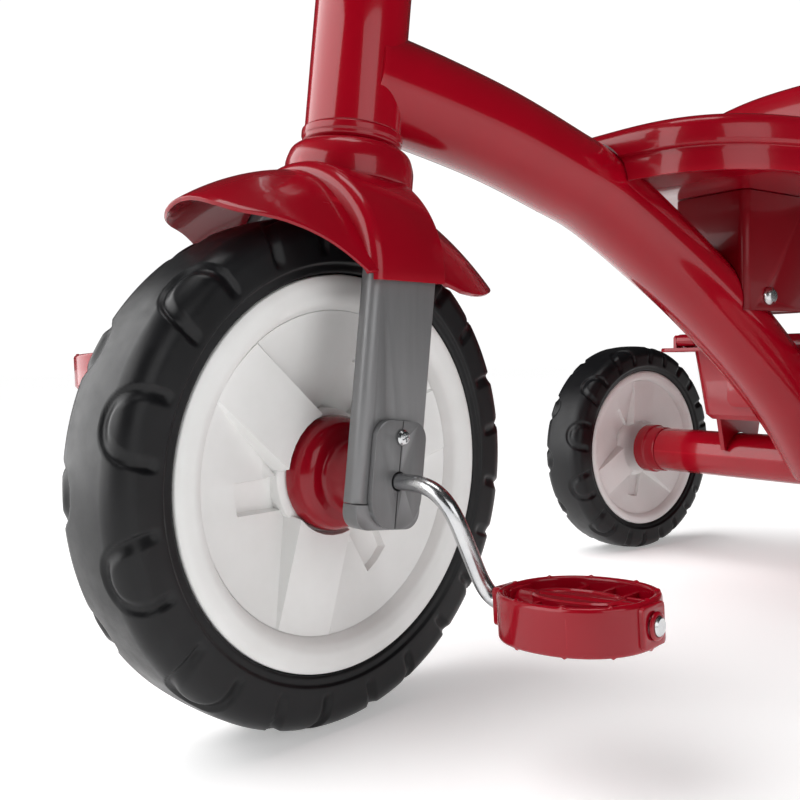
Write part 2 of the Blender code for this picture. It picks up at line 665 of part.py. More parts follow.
def make_fork_legs():
    """Two box-section legs with a split bushing housing around the axle."""
    for side_name, side in (("left", 1), ("right", -1)):
        mid = side * (LEG_INNER + LEG_OUTER) / 2
        half = (LEG_OUTER - LEG_INNER) / 2
        leg = box("fork_leg_" + side_name, GREY_PAINT,
                  (mid - half, LEG_CENTRE_Y - LEG_HALF_WIDTH, LEG_BOTTOM),
                  (mid + half, LEG_CENTRE_Y + LEG_HALF_WIDTH, LEG_TOP), column)
        round_edges(leg, 0.0030)
        axle_hole = cylinder("leg_axle_hole_" + side_name, PAINT, ROD_RADIUS + 0.0004, -0.02, 0.02,
                             20, column, (mid, *AXLE_IN_COLUMN[1:]), along_x=True)
        combine(leg, axle_hole)
        screw_spot = (side * (LEG_OUTER + 2 * GAP + BOSS_THICKNESS), AXLE_IN_COLUMN.y,
                      AXLE_IN_COLUMN.z + BOSS_SCREW_HEIGHT)
        hole_start, hole_end = sorted((-0.018 * side, 0.004 * side))
        combine(leg, cylinder("leg_screw_hole_" + side_name, PAINT, 0.0020, hole_start, hole_end, 12,
                              column, screw_spot, along_x=True))
        make_bushing_halves(side_name, side, screw_spot)
        make_bushing_screw(side_name, side, screw_spot)


def make_bushing_halves(side_name, side, screw_spot):
    seam = 0.0003
    foot = LEG_BOTTOM - AXLE_IN_COLUMN.z + 0.0006
    for half_name, low_y, high_y in (("front", -1, -seam), ("rear", seam, 1)):
        loop = boss_outline(foot, low_y, high_y)
        name = "axle_bushing_" + half_name + "_" + side_name
        thickness = BOSS_THICKNESS / 2
        item = place(name, outline_mesh(name, [loop], thickness), GREY_PAINT, column,
                     (side * (LEG_OUTER + GAP + thickness), AXLE_IN_COLUMN.y, AXLE_IN_COLUMN.z))
        item.rotation_euler = (pi / 2, 0, pi / 2)
        for hole_name, radius, spot in (("axle", ROD_RADIUS + 0.0004, AXLE_IN_COLUMN),
                                        ("screw", 0.0020, screw_spot)):
            hole = cylinder(name + "_" + hole_name + "_hole", PAINT, radius, -0.01, 0.01, 20,
                            column, (side * LEG_OUTER, spot[1], spot[2]), along_x=True)
            combine(item, hole)


def make_bushing_screw(side_name, side, screw_spot):
    profile = [(0, side * 0.0022), (0.0024, side * 0.0021), (0.0038, side * 0.0008),
               (0.0038, side * GAP), (0.0017, side * GAP), (0.0017, side * -0.012),
               (0, side * -0.012)]
    turned("bushing_screw_" + side_name, ZINC, profile, False, 16, column, screw_spot,
           along_x=True)


def fender_half_edge():
    """Half of the front edge in plan, from the tip to the fork: (x, y) about the axle."""
    return [(0.0, -0.0762), (0.010, -0.0755), (0.020, -0.0730), (0.030, -0.0660),
            (0.040, -0.0500), (0.050, -0.0330), (0.060, -0.0186)]


def fender_height(x, y):
    return sqrt(FENDER_RADIUS ** 2 - y ** 2) - 0.0525 * (x / 0.060) ** 2


def make_fender():
    """Visor over the tyre, arched shroud over the fork and a round collar under the head tube."""
    front = fender_half_edge()
    rear = [(x, 0.036 + (0.112 - 0.036) * sqrt(max(0.0, 1 - (x / 0.0605) ** 2))) for x, _ in front]
    rows = []
    lengthwise = 8
    for step in range(lengthwise + 1):
        t = step / lengthwise
        half = [(x, y_front + t * (y_rear - y_front))
                for (x, y_front), (_, y_rear) in zip(front, rear)]
        full = [(-x, y) for x, y in reversed(half[1:])] + half
        rows.append([(x, y, fender_height(x, y)) for x, y in full])
    visor = grid_shell("front_fender", RED_PLASTIC, rows, FENDER_THICKNESS, front_axle)
    samples = 12
    arch = [(SHROUD_HALF_WIDTH * cos(pi * i / samples), SHROUD_RISE * sin(pi * i / samples))
            for i in range(samples + 1)]
    outer = [(SHROUD_HALF_WIDTH, -0.0030)] + arch + [(-SHROUD_HALF_WIDTH, -0.0030)]
    inner = [(x * 0.953, y * 0.953) for x, y in arch]
    inner = [(inner[0][0], -0.020)] + inner + [(inner[-1][0], -0.020)]
    shroud = place("shroud", outline_mesh("shroud", [outer], SHROUD_HALF_DEPTH), RED_PLASTIC, front_axle,
                   (0, SHROUD_Y, SHROUD_BASE), (pi / 2, 0, 0))
    hollow_mesh = outline_mesh("shroud_hollow", [inner], SHROUD_HALF_DEPTH - SHROUD_WALL)
    hollow = place("shroud_hollow", hollow_mesh, RED_PLASTIC, front_axle,
                   (0, SHROUD_Y, SHROUD_BASE), (pi / 2, 0, 0))
    collar_profile = [(0, COLLAR_TOP), (0.0270, COLLAR_TOP), (0.0312, COLLAR_TOP - 0.0030),
                      (COLLAR_RADIUS, COLLAR_TOP - 0.0100), (COLLAR_RADIUS, COLLAR_BOTTOM),
                      (0, COLLAR_BOTTOM)]
    collar = turned("collar", RED_PLASTIC, collar_profile, False, ROUND_STEPS, column)
    combine(visor, shroud, "UNION")
    combine(visor, collar, "UNION")
    combine(visor, hollow)
    combine(visor, cylinder("wheel_room", RED_PLASTIC, FRONT_RADIUS + 0.005, -0.030, 0.030, 48,
                            front_axle, along_x=True))
    combine(visor, cylinder("steerer_hole", RED_PLASTIC, STEERER_RADIUS + 0.0005, 0.10, 0.20, 24,
                            column))


def handlebar_corners():
    top = STEERER_TOP + 0.0130
    half = [(0.060, 0.0, top), (0.135, 0.038, top - 0.004), (0.196, 0.070, top - 0.016)]
    return [(-x, y, s) for x, y, s in reversed(half)] + half


def make_handlebar():
    bar_radius = 0.0095
    corners = handlebar_corners()
    line = rounded_path(corners, 0.018)
    place("handlebar", rod_mesh("handlebar", line, bar_radius, 4), ZINC, column)
    for side_name, side in (("left", 1), ("right", -1)):
        outer_end = Vector(corners[-1] if side > 0 else corners[0])
        inner_corner = Vector(corners[-2] if side > 0 else corners[1])
        along = (inner_corner - outer_end).normalized()
        grip_line = [outer_end - along * 0.004, outer_end + along * 0.046]
        name = "grip_" + side_name
        grip = place(name, rod_mesh(name, grip_line, 0.0145, 6), GRIP, column)
        bore_line = [outer_end - along * 0.0004, outer_end + along * 0.070]
        bore = place(name + "_bore", rod_mesh(name + "_bore", bore_line, bar_radius + 0.0005, 4),
                     GRIP, column)
        combine(grip, bore)
    make_clamp(corners, bar_radius)


def make_clamp(corners, bar_radius):
    bar_s = STEERER_TOP + 0.0130
    clamp = box("handlebar_clamp", GREY_PAINT, (-0.020, -0.0175, STEERER_TOP - 0.040),
                (0.020, 0.0175, bar_s + 0.0150), column)
    round_edges(clamp, 0.005)
    combine(clamp, cylinder("clamp_stem_bore", PAINT, STEERER_RADIUS + 0.0004, 0.20,
                            STEERER_TOP + 0.0006, 24, column))
    combine(clamp, cylinder("clamp_bar_bore", PAINT, bar_radius + 0.0004, -0.05, 0.05, 20, column,
                            (0, 0, bar_s), along_x=True))
    bolt_s = STEERER_TOP - 0.030
    bolt = turned("clamp_bolt", ZINC, [(0, 0.0035), (0.0055, 0.0035), (0.0055, 0.0003), (0.0028, 0.0003),
                                       (0.0028, -0.0050), (0, -0.0050)], False, 12, column,
                  (0, -0.0175, bolt_s))
    bolt.rotation_euler = (pi / 2, 0, 0)
    hole = cylinder("clamp_bolt_hole", PAINT, 0.0031, -0.0054, 0.010, 12, column,
                    (0, -0.0175, bolt_s))
    hole.rotation_euler = (pi / 2, 0, 0)
    combine(clamp, hole)


# ---------------------------------------------------------------- wheels, crank and pedals
def tyre_profile(outer, inner, half):
    """Section of a tyre with a flat tread and rounded shoulders, as (radius, x).

    The flats of the faceted tread lie at the true radius, so that a flat meets the ground.
    """
    shoulder = (outer - inner) * 0.42
    outer /= cos(pi / WHEEL_STEPS)
    points = [(inner + GAP, half * 0.93)]
    for i in range(4):
        angle = pi / 2 * i / 3
        x = half * 0.52 + half * 0.48 * cos(angle)
        points.append((outer - shoulder + shoulder * sin(angle), x))
    return points + [(radius, -x) for radius, x in reversed(points)]


def rim_profile(radius, half, dish, ring, bore):
    """Section of a moulded rim: broad outer ring, step, and a flat dish down to the bore."""
    side = [(bore, dish), (radius - ring, dish), (radius - ring + 0.003, half), (radius, half)]
    return side + [(r, -x) for r, x in reversed(side)]


def make_front_wheel():
    half_facet = pi / WHEEL_STEPS
    turned("front_tyre", TYRE, tyre_profile(FRONT_RADIUS, FRONT_RIM_RADIUS, FRONT_TYRE_HALF), True,
           WHEEL_STEPS, front_axle, along_x=True, facet_turn=half_facet)
    turned("front_rim", WHITE_PLASTIC,
           rim_profile(FRONT_RIM_RADIUS, FRONT_RIM_HALF, 0.012, 0.018, ROD_RADIUS + GAP), True,
           WHEEL_STEPS, front_axle, along_x=True, facet_turn=half_facet)
    for side_name, side in (("left", 1), ("right", -1)):
        bore = ROD_RADIUS + GAP
        section = [(bore, 0.0123), (0.0290, 0.0123), (0.0290, 0.0200), (0.0245, 0.0270),
                   (0.0170, 0.0295), (0.0165, HUB_CAP_END), (bore, HUB_CAP_END)]
        turned("front_hub_cap_" + side_name, RED_PLASTIC, [(r, side * x) for r, x in section], True,
               ROUND_STEPS, front_axle, along_x=True)


def make_crank():
    """One bent rod: spindle, arm, axle, arm and spindle, with the pedals half a turn apart."""
    rise = (SPINDLE_END - SPINDLE_START) * tan(SPINDLE_TILT)
    half = [(CRANK_OUT, 0, 0), (SPINDLE_START, CRANK_BACK, -CRANK_DROP),
            (SPINDLE_END, CRANK_BACK, rise - CRANK_DROP)]
    corners = [(-x, -y, -z) for x, y, z in reversed(half)] + half
    line = rounded_path(corners, CRANK_BEND, 3)
    place("crank_rod", rod_mesh("crank_rod", line, ROD_RADIUS, 3), ZINC, front_axle)


def superellipse(half_x, half_y, power, count):
    loop = []
    for i in range(count):
        angle = 2 * pi * i / count
        c, s = cos(angle), sin(angle)
        loop.append((half_x * abs(c) ** (2 / power) * (1 if c >= 0 else -1),
                     half_y * abs(s) ** (2 / power) * (1 if s >= 0 else -1)))
    return loop


def make_pedal(side_name, side):
    """Oval ring with a sleeve on the spindle, a cross bar and square bosses at both ends."""
    drop = CRANK_DROP + SPINDLE_START * sin(SPINDLE_TILT)
    spindle = empty("pedal_axis_" + side_name, front_axle, (0, side * CRANK_BACK, -side * drop))
    spindle.rotation_euler = (0, -SPINDLE_TILT, 0)
    centre = side * PEDAL_CENTRE_X
    outer = superellipse(PEDAL_HALF_X, PEDAL_HALF_Y, 2.2, 28)
    inner = superellipse(PEDAL_HALF_X - 0.0035, PEDAL_HALF_Y - 0.0035, 2.2, 28)
    name = "pedal_" + side_name
    ring = place(name, outline_mesh(name, [outer, inner], PEDAL_HALF_HEIGHT), RED_PLASTIC, spindle,
                 (centre, 0, 0))
    sleeve = cylinder(name + "_sleeve", RED_PLASTIC, 0.0080, -PEDAL_HALF_X + 0.001,
                      PEDAL_HALF_X - 0.001, 20, spindle, (centre, 0, 0), along_x=True)
    cross = box(name + "_cross", RED_PLASTIC, (centre - 0.0140, -PEDAL_HALF_Y + 0.002, -0.0050),
                (centre + 0.0140, PEDAL_HALF_Y - 0.002, 0.0072), spindle)
    inner_boss = box(name + "_boss", RED_PLASTIC, (centre - 0.0390, -0.0085, -0.0085),
                     (centre + 0.0350, 0.0085, 0.0085), spindle)
    if side < 0:
        for vertex in inner_boss.data.vertices:
            vertex.co.x = 2 * centre - vertex.co.x
        inner_boss.data.flip_normals()
    well = box(name + "_well", RED_PLASTIC, (centre - 0.0290, -0.0095, -0.0200),
               (centre + 0.0290, 0.0095, 0.0200), spindle)
    combine(inner_boss, well)
    for tool in (inner_boss, cross, sleeve):
        combine(ring, tool, "UNION")
    combine(ring, cylinder(name + "_bore", RED_PLASTIC, ROD_RADIUS + 0.0004, -0.06, 0.06, 20,
                           spindle, (centre, 0, 0), along_x=True))
    cap_start, cap_end = sorted((side * PEDAL_CAP_X, side * (PEDAL_CAP_X + 0.0016)))
    tube("pedal_cap_" + side_name, RED_PLASTIC, PEDAL_CAP_RADIUS, ROD_RADIUS + GAP, cap_start, cap_end, 16,
         spindle, along_x=True)


def make_rear_wheels():
    half_facet = pi / WHEEL_STEPS
    for side_name, side in (("left", 1), ("right", -1)):
        hub = empty("rear_hub_" + side_name, rear_axle, (side * REAR_WHEEL_X, 0, 0))
        turned("rear_tyre_" + side_name, TYRE,
               tyre_profile(REAR_RADIUS, REAR_RIM_RADIUS, REAR_TYRE_HALF), True, WHEEL_STEPS, hub,
               along_x=True, facet_turn=half_facet)
        turned("rear_rim_" + side_name, WHITE_PLASTIC,
               rim_profile(REAR_RIM_RADIUS, REAR_RIM_HALF, 0.0100, 0.012, AXLE_ROD_RADIUS + GAP),
               True, WHEEL_STEPS, hub, along_x=True, facet_turn=half_facet)
        section = [(0, 0.0240), (0.0150, 0.0228), (0.0225, 0.0190), (0.0250, 0.0120),
                   (0.0240, 0.0103), (0.0140, 0.0103), (0.0140, 0.0190), (0, 0.0205)]
        turned("rear_hub_cap_" + side_name, RED_PLASTIC, [(r, side * x) for r, x in section], False,
               ROUND_STEPS, hub, along_x=True)


# ---------------------------------------------------------------- assembly
make_head()
make_main_tube()
make_rear_axle()
seat_shell = make_seat()
make_seat_mount(seat_shell)
bin_shell = make_bin()
make_bin_brackets(bin_shell)
make_lid()
make_steerer()
make_fork_legs()
make_fender()
make_handlebar()
make_front_wheel()
make_crank()
make_pedal("left", 1)
make_pedal("right", -1)
make_rear_wheels()
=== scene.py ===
"""Looks of the children's tricycle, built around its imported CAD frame.

Metres, +Z up. The tricycle faces -Y and the rider's left is +X.
"""
import json
from math import asin, cos, degrees, pi, radians, sin, sqrt

import bmesh
import bpy
import numpy as np
from mathutils import Matrix, Vector


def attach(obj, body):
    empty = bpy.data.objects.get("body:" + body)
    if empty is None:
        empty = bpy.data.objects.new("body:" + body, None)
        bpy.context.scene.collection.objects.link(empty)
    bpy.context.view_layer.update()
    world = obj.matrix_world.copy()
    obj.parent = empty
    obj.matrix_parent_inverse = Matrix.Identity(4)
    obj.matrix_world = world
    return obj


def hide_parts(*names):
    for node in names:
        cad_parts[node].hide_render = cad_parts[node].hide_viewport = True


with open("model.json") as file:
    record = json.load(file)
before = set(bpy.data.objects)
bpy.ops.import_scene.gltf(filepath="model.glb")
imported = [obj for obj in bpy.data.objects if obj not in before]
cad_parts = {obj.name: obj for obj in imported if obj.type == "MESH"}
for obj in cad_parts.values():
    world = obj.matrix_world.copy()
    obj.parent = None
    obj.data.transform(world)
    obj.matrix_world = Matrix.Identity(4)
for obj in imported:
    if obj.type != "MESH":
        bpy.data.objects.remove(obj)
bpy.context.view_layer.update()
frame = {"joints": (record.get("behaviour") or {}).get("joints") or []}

# ---------------------------------------------------------------- dimensions
FRONT_RADIUS = 0.127
FRONT_RIM_RADIUS = 0.098
REAR_RADIUS = 0.0977
REAR_RIM_RADIUS = 0.0737
REAR_WHEEL_X = 0.200
REAR_AXLE_Y = 0.2355
LEAN = asin(0.113203)
HEAD_TUBE_RADIUS = 0.025
HEAD_TUBE_BOTTOM = 0.1745
HEAD_TUBE_TOP = 0.2640
MAIN_TUBE_RADIUS = 0.027
STEERER_TOP = 0.376
LEG_INNER = 0.048
LEG_OUTER = 0.057
LEG_FRONT = -0.0305
LEG_REAR = 0.0113
LEG_BOTTOM = -0.0238
LEG_SEAM = -0.0118
BOSS_HALF_WIDTH = 0.0166
BOSS_TOP = 0.0283
BOSS_SCREW_HEIGHT = 0.0205
ROD_RADIUS = 0.004
ROD_BORE = 0.0044
PIN_BORE = 0.0023
FENDER_RADIUS = 0.150
SHROUD_HALF_WIDTH = 0.061
SHROUD_BASE = 0.096
SHROUD_RISE = 0.058
SHROUD_FRONT = -0.0152
SHROUD_REAR = 0.0318
AXLE_TUBE_RADIUS = 0.0198
SEAT_FRONT_Y = -0.0305
SEAT_LENGTH = 0.262
BIN_FRONT_Y = 0.1965
BIN_REAR_Y = 0.362
BIN_FLOOR_Z = 0.131
BIN_TOP_Z = 0.192
SIDES = (("left", 1), ("right", -1))


# ---------------------------------------------------------------- frames of the moving parts
def unit(vector):
    return Vector(vector).normalized()


def axes(origin, x, y, z):
    matrix = Matrix.Identity(4)
    for column, axis in enumerate((x, y, z, origin)):
        for row in range(3):
            matrix[row][column] = axis[row]
    return matrix


JOINTS = {joint["name"]: joint for joint in frame["joints"]}
STEER = unit(JOINTS["steering_turn"]["axis"])
AXLE = unit(JOINTS["front_wheel_spin"]["axis"])
SIDEWAYS = Vector((1, 0, 0))
COLUMN = axes(JOINTS["steering_turn"]["pos_m"], AXLE, STEER.cross(AXLE), STEER)
HEAD = axes(JOINTS["steering_turn"]["pos_m"], SIDEWAYS, STEER.cross(SIDEWAYS), STEER)
WHEEL_UP = cos(LEAN) * STEER + sin(LEAN) * AXLE.cross(STEER)
WHEEL = axes(JOINTS["front_wheel_spin"]["pos_m"], AXLE, WHEEL_UP.cross(AXLE), WHEEL_UP)
WORLD = Matrix.Identity(4)
FACING_FRONT = Matrix.Rotation(pi / 2, 4, "X")      # local +Z towards -Y
REAR = Matrix.Translation((0, REAR_AXLE_Y, REAR_RADIUS))
LID = Matrix.Translation(JOINTS["lid_open"]["pos_m"])
AXLE_IN_COLUMN = COLUMN.inverted() @ WHEEL.translation


# ---------------------------------------------------------------- procedural materials
class Nodes:
    """Short calls for building one material's node tree."""

    def __init__(self, name):
        self.material = bpy.data.materials.new(name)
        self.material.use_nodes = True
        self.tree = self.material.node_tree
        self.shader = self.tree.nodes["Principled BSDF"]
        self.place = self.add("ShaderNodeTexCoord").outputs["Object"]

    def add(self, kind, **settings):
        node = self.tree.nodes.new(kind)
        for key, value in settings.items():
            setattr(node, key, value)
        return node

    def link(self, source, socket):
        self.tree.links.new(source, socket)

    def noise(self, scale, detail=4.0, roughness=0.55, stretch=(1, 1, 1)):
        mapping = self.add("ShaderNodeMapping")
        mapping.inputs["Scale"].default_value = stretch
        self.link(self.place, mapping.inputs["Vector"])
        node = self.add("ShaderNodeTexNoise")
        node.inputs["Scale"].default_value = scale
        node.inputs["Detail"].default_value = detail
        node.inputs["Roughness"].default_value = roughness
        self.link(mapping.outputs["Vector"], node.inputs["Vector"])
        return node.outputs["Fac"]

    def span(self, value, low, high, start=0.3, end=0.7):
        node = self.add("ShaderNodeMapRange")
        node.inputs["From Min"].default_value = start
        node.inputs["From Max"].default_value = end
        node.inputs["To Min"].default_value = low
        node.inputs["To Max"].default_value = high
        self.link(value, node.inputs["Value"])
        return node.outputs["Result"]

    def mix(self, factor, first, second):
        node = self.add("ShaderNodeMix", data_type="RGBA")
        self.link(factor, node.inputs["Factor"])
        for socket, colour in ((node.inputs["A"], first), (node.inputs["B"], second)):
            if isinstance(colour, tuple):
                socket.default_value = (*colour, 1.0)
            else:
                self.link(colour, socket)
        return node.outputs["Result"]

    def worn_edges(self, low=0.53, high=0.62):
        return self.span(self.add("ShaderNodeNewGeometry").outputs["Pointiness"], 0.0, 1.0, low, high)

    def bumps(self, *layers):
        """Stack bumps of (height, strength, distance)."""
        normal = None
        for height, strength, distance in layers:
            node = self.add("ShaderNodeBump")
            node.inputs["Strength"].default_value = strength
            node.inputs["Distance"].default_value = distance
            self.link(height, node.inputs["Height"])
            if normal is not None:
                self.link(normal, node.inputs["Normal"])
            normal = node.outputs["Normal"]
        self.link(normal, self.shader.inputs["Normal"])

    def set(self, **values):
        for key, value in values.items():
            self.shader.inputs[key.replace("_", " ")].default_value = value


def red_finish(name, deep, bright, rough, coat, grain):
    """Glossy red: faint flow marks in the colour, tiny scratches in the gloss, paler worn edges."""
    nodes = Nodes(name)
    flow = nodes.noise(18, 3, 0.5, (1, 1, 0.4))
    base = nodes.mix(nodes.span(flow, 0.0, 1.0), deep, bright)
    edge = tuple(min(1.0, c * 1.18 + 0.004) for c in bright)
    nodes.link(nodes.mix(nodes.worn_edges(), base, edge), nodes.shader.inputs["Base Color"])
    scratches = nodes.noise(700, 2, 0.6, (1, 0.05, 0.3))
    smudges = nodes.noise(35, 5, 0.65)
    gloss = nodes.add("ShaderNodeMath", operation="ADD")
    nodes.link(nodes.span(scratches, 0.0, 0.05, 0.62, 0.85), gloss.inputs[0])
    nodes.link(nodes.span(smudges, rough, rough + 0.06), gloss.inputs[1])
    nodes.link(gloss.outputs["Value"], nodes.shader.inputs["Roughness"])
    nodes.bumps((nodes.noise(grain, 2, 0.5), 0.05, 0.0002), (nodes.noise(45, 2, 0.5), 0.03, 0.0006))
    nodes.set(Coat_Weight=coat, Coat_Roughness=0.06, Specular_IOR_Level=0.18)
    return nodes.material


def plain_finish(name, tint, worn, gloss, bumps, **values):
    """Two close colours in soft clouds, paler worn edges, an uneven gloss and fine bumps."""
    nodes = Nodes(name)
    cloud, first, second = tint
    colour = nodes.mix(nodes.span(nodes.noise(*cloud), 0.0, 1.0), first, second)
    if worn:
        low, high, pale = worn
        colour = nodes.mix(nodes.worn_edges(low, high), colour, pale)
    nodes.link(colour, nodes.shader.inputs["Base Color"])
    patches, low, high = gloss
    nodes.link(nodes.span(nodes.noise(*patches), low, high), nodes.shader.inputs["Roughness"])
    nodes.bumps(*((nodes.noise(*grain), strength, distance) for grain, strength, distance in bumps))
    nodes.set(**values)
    return nodes.material


MATERIALS = {
    "red_paint": red_finish("red_enamel", (0.290, 0.0006, 0.0080), (0.330, 0.0009, 0.0100),
                            0.15, 0.55, 700),
    "red_plastic": red_finish("red_moulding", (0.255, 0.0006, 0.0075), (0.300, 0.0009, 0.0095),
                              0.20, 0.45, 1100),
    # Darker copy of the red moulding for the seat pedestal: painted shade, the shadow under the seat put
    # into its colour.
    "dark_red_plastic": red_finish("red_moulding_painted_shade", (0.150, 0.0006, 0.004), (0.185, 0.0009, 0.006),
                                   0.30, 0.15, 1100),
    # Milky moulded plastic.
    "white_plastic": plain_finish(
        "white_moulding", ((25, 4, 0.6), (0.80, 0.80, 0.785), (0.86, 0.86, 0.85)),
        (0.54, 0.70, (0.88, 0.88, 0.87)), ((50, 5, 0.6), 0.30, 0.42),
        [((1400, 2, 0.5), 0.08, 0.0002), ((70, 2, 0.5), 0.06, 0.0005)], Specular_IOR_Level=0.4),
    # Satin foam rubber with a fine skin and faint mould swirls.
    "black_tyre": plain_finish(
        "tyre_rubber", ((40, 5, 0.6), (0.0035, 0.0035, 0.0042), (0.0065, 0.0065, 0.0075)),
        (0.53, 0.66, (0.016, 0.016, 0.018)), ((90, 4, 0.6), 0.32, 0.44),
        [((2200, 3, 0.6), 0.12, 0.0002), ((110, 3, 0.5), 0.06, 0.0006)], Specular_IOR_Level=0.30),
    # Satin grey with a fine stipple and soft streaks along its length.
    "grey_plastic": plain_finish(
        "grey_moulding", ((160, 3, 0.6, (1, 1, 0.08)), (0.150, 0.150, 0.153), (0.185, 0.185, 0.188)),
        (0.52, 0.60, (0.27, 0.27, 0.275)), ((240, 4, 0.6), 0.33, 0.43),
        [((2600, 2, 0.6), 0.22, 0.0002), ((120, 2, 0.5), 0.05, 0.0005)],
        Metallic=0.35, Specular_IOR_Level=0.5),
    # Bright zinc with drawing lines and slightly dull patches.
    "zinc_steel": plain_finish(
        "zinc_plating", ((70, 5, 0.65), (0.50, 0.51, 0.53), (0.68, 0.68, 0.68)), None,
        ((70, 5, 0.65), 0.16, 0.30), [((1300, 2, 0.5, (0.1, 1, 1)), 0.08, 0.0002)], Metallic=1.0),
    "black_grip": plain_finish(
        "grip_rubber", ((60, 4, 0.6), (0.010, 0.010, 0.011), (0.022, 0.022, 0.024)), None,
        ((150, 4, 0.6), 0.55, 0.70), [((1800, 3, 0.6), 0.3, 0.0003)]),
}


# ---------------------------------------------------------------- mesh building
def piece(name, verts, faces, where=WORLD):
    """A mesh object from points in a local frame, welded and with its faces turned outwards."""
    edit = bmesh.new()
    made = [edit.verts.new(where @ Vector(point)) for point in verts]
    for face in faces:
        edit.faces.new([made[i] for i in face])
    bmesh.ops.remove_doubles(edit, verts=edit.verts, dist=1e-6)
    bmesh.ops.recalc_face_normals(edit, faces=edit.faces)
    mesh = bpy.data.meshes.new(name)
    edit.to_mesh(mesh)
    edit.free()
    item = bpy.data.objects.new(name, mesh)
    bpy.context.scene.collection.objects.link(item)
    return item


def settle(item, sharp=35.0):
    """Apply an object's modifiers and shade it smooth up to an angle."""
    if item.modifiers:
        bpy.context.view_layer.update()
        evaluated = item.evaluated_get(bpy.context.evaluated_depsgraph_get())
        item.data = bpy.data.meshes.new_from_object(evaluated)
        item.modifiers.clear()
    item.data.shade_smooth()
    item.data.set_sharp_from_angle(angle=radians(sharp))
    return item


def bevel(item, width, segments=3, angle=35.0):
    modifier = item.modifiers.new("bevel", "BEVEL")
    modifier.width = width
    modifier.segments = segments
    modifier.limit_method = "ANGLE"
    modifier.angle_limit = radians(angle)
    return item


def cut(item, *tools, operation="DIFFERENCE", folded=False):
    """Boolean the tools into an object and remove them; folded is for a shell that meets itself."""
    for tool in tools:
        modifier = item.modifiers.new("cut", "BOOLEAN")
        modifier.operation = operation
        modifier.object = tool
        modifier.solver = "EXACT"
        modifier.use_self = folded
    bpy.context.view_layer.update()
    evaluated = item.evaluated_get(bpy.context.evaluated_depsgraph_get())
    item.data = bpy.data.meshes.new_from_object(evaluated)
    item.modifiers.clear()
    for tool in tools:
        bpy.data.objects.remove(tool, do_unlink=True)
    return item


def merge(name, items):
    """Join finished objects into one."""
    edit = bmesh.new()
    for item in items:
        edit.from_mesh(item.data)
        bpy.data.objects.remove(item, do_unlink=True)
    mesh = bpy.data.meshes.new(name)
    edit.to_mesh(mesh)
    edit.free()
    joined = bpy.data.objects.new(name, mesh)
    bpy.context.scene.collection.objects.link(joined)
    return joined


def finish(item, slot, body, node="", sharp=35.0):
    """Shade, paint and attach a piece in place of its CAD node, by default the one it is named for."""
    settle(item, sharp)
    item.data.materials.clear()
    item.data.materials.append(MATERIALS[slot])
    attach(item, body)
    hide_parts(node or item.name.replace("_look", ""))
    return item


def grid_faces(rows, columns, wrap_rows=False, wrap_columns=False):
    faces = []
    for i in range(rows if wrap_rows else rows - 1):
        for j in range(columns if wrap_columns else columns - 1):
            k, m = (i + 1) % rows, (j + 1) % columns
            faces.append((i * columns + j, i * columns + m, k * columns + m, k * columns + j))
    return faces


def surface(name, grid, where=WORLD, wrap_rows=False, wrap_columns=False, caps=()):
    """A quad surface through a grid of points."""
    faces = grid_faces(len(grid), len(grid[0]), wrap_rows, wrap_columns) + list(caps)
    return piece(name, [point for row in grid for point in row], faces, where)


def loft(name, loops, where=WORLD):
    """A solid through a stack of closed loops."""
    count = len(loops[0])
    top = (len(loops) - 1) * count
    return surface(name, loops, where, wrap_columns=True,
                   caps=(tuple(range(count)), tuple(range(top, top + count))))


def rounded(points, radius, steps=4, closed=False):
    """Round each corner of a line of points with a short curve."""
    points = [Vector(point) for point in points]
    count = len(points)
    result = [] if closed else [points[0]]
    for i in range(count) if closed else range(1, count - 1):
        corner = points[i]
        before, after = points[i - 1] - corner, points[(i + 1) % count] - corner
        reach = min(radius, before.length * 0.45, after.length * 0.45)
        start, end = corner + before.normalized() * reach, corner + after.normalized() * reach
        for step in range(steps + 1):
            t = step / steps
            result.append(start * (1 - t) ** 2 + corner * 2 * t * (1 - t) + end * t ** 2)
    if not closed:
        result.append(points[-1])
    return result


def lathe(name, profile, where, around="x", steps=96, soften=0.0, closed=False):
    """Turn a profile of (radius, height) points about local X or Z."""
    points = [(r, h, 0.0) for r, h in profile]
    if soften:
        points = rounded(points, soften, 3, closed)
    verts = []
    for i in range(steps):
        c, s = cos(2 * pi * i / steps), sin(2 * pi * i / steps)
        verts += [(h, r * s, r * c) if around == "x" else (r * c, r * s, h) for r, h, _ in points]
    # Corners that fall together on the axis become one.
    found, index = {}, []
    for point in verts:
        key = tuple(round(c, 7) for c in point)
        found.setdefault(key, (len(found), point))
        index.append(found[key][0])
    loops = [list(dict.fromkeys(index[i] for i in face))
             for face in grid_faces(steps, len(points), True, closed)]
    return piece(name, [point for _, point in found.values()], [loop for loop in loops if len(loop) > 2],
                 where)


def round_bar(radius, low, high):
    """Profile of a solid round bar."""
    return [(0, low), (radius, low), (radius, high), (0, high)]


def hoop(inner, outer, low, high):
    """Closed profile of a plain ring or tube."""
    return [(inner, low), (outer, low), (outer, high), (inner, high)]


def mirrored(profile, side):
    return [(r, side * x) for r, x in profile]


def sweep(name, line, radius, where=WORLD, sides=32):
    """A capped round bar along a line of points; radius may be a number or one per point."""
    line = [Vector(point) for point in line]
    radii = radius if isinstance(radius, (list, tuple)) else [radius] * len(line)
    tangents = [(line[min(i + 1, len(line) - 1)] - line[max(i - 1, 0)]).normalized()
                for i in range(len(line))]
    side = tangents[0].orthogonal().normalized()
    grid = []
    for point, tangent, reach in zip(line, tangents, radii):
        side = (side - tangent * side.dot(tangent)).normalized()
        other = tangent.cross(side)
        grid.append([point + reach * (cos(2 * pi * j / sides) * side + sin(2 * pi * j / sides) * other)
                     for j in range(sides)])
    return loft(name, grid, where)


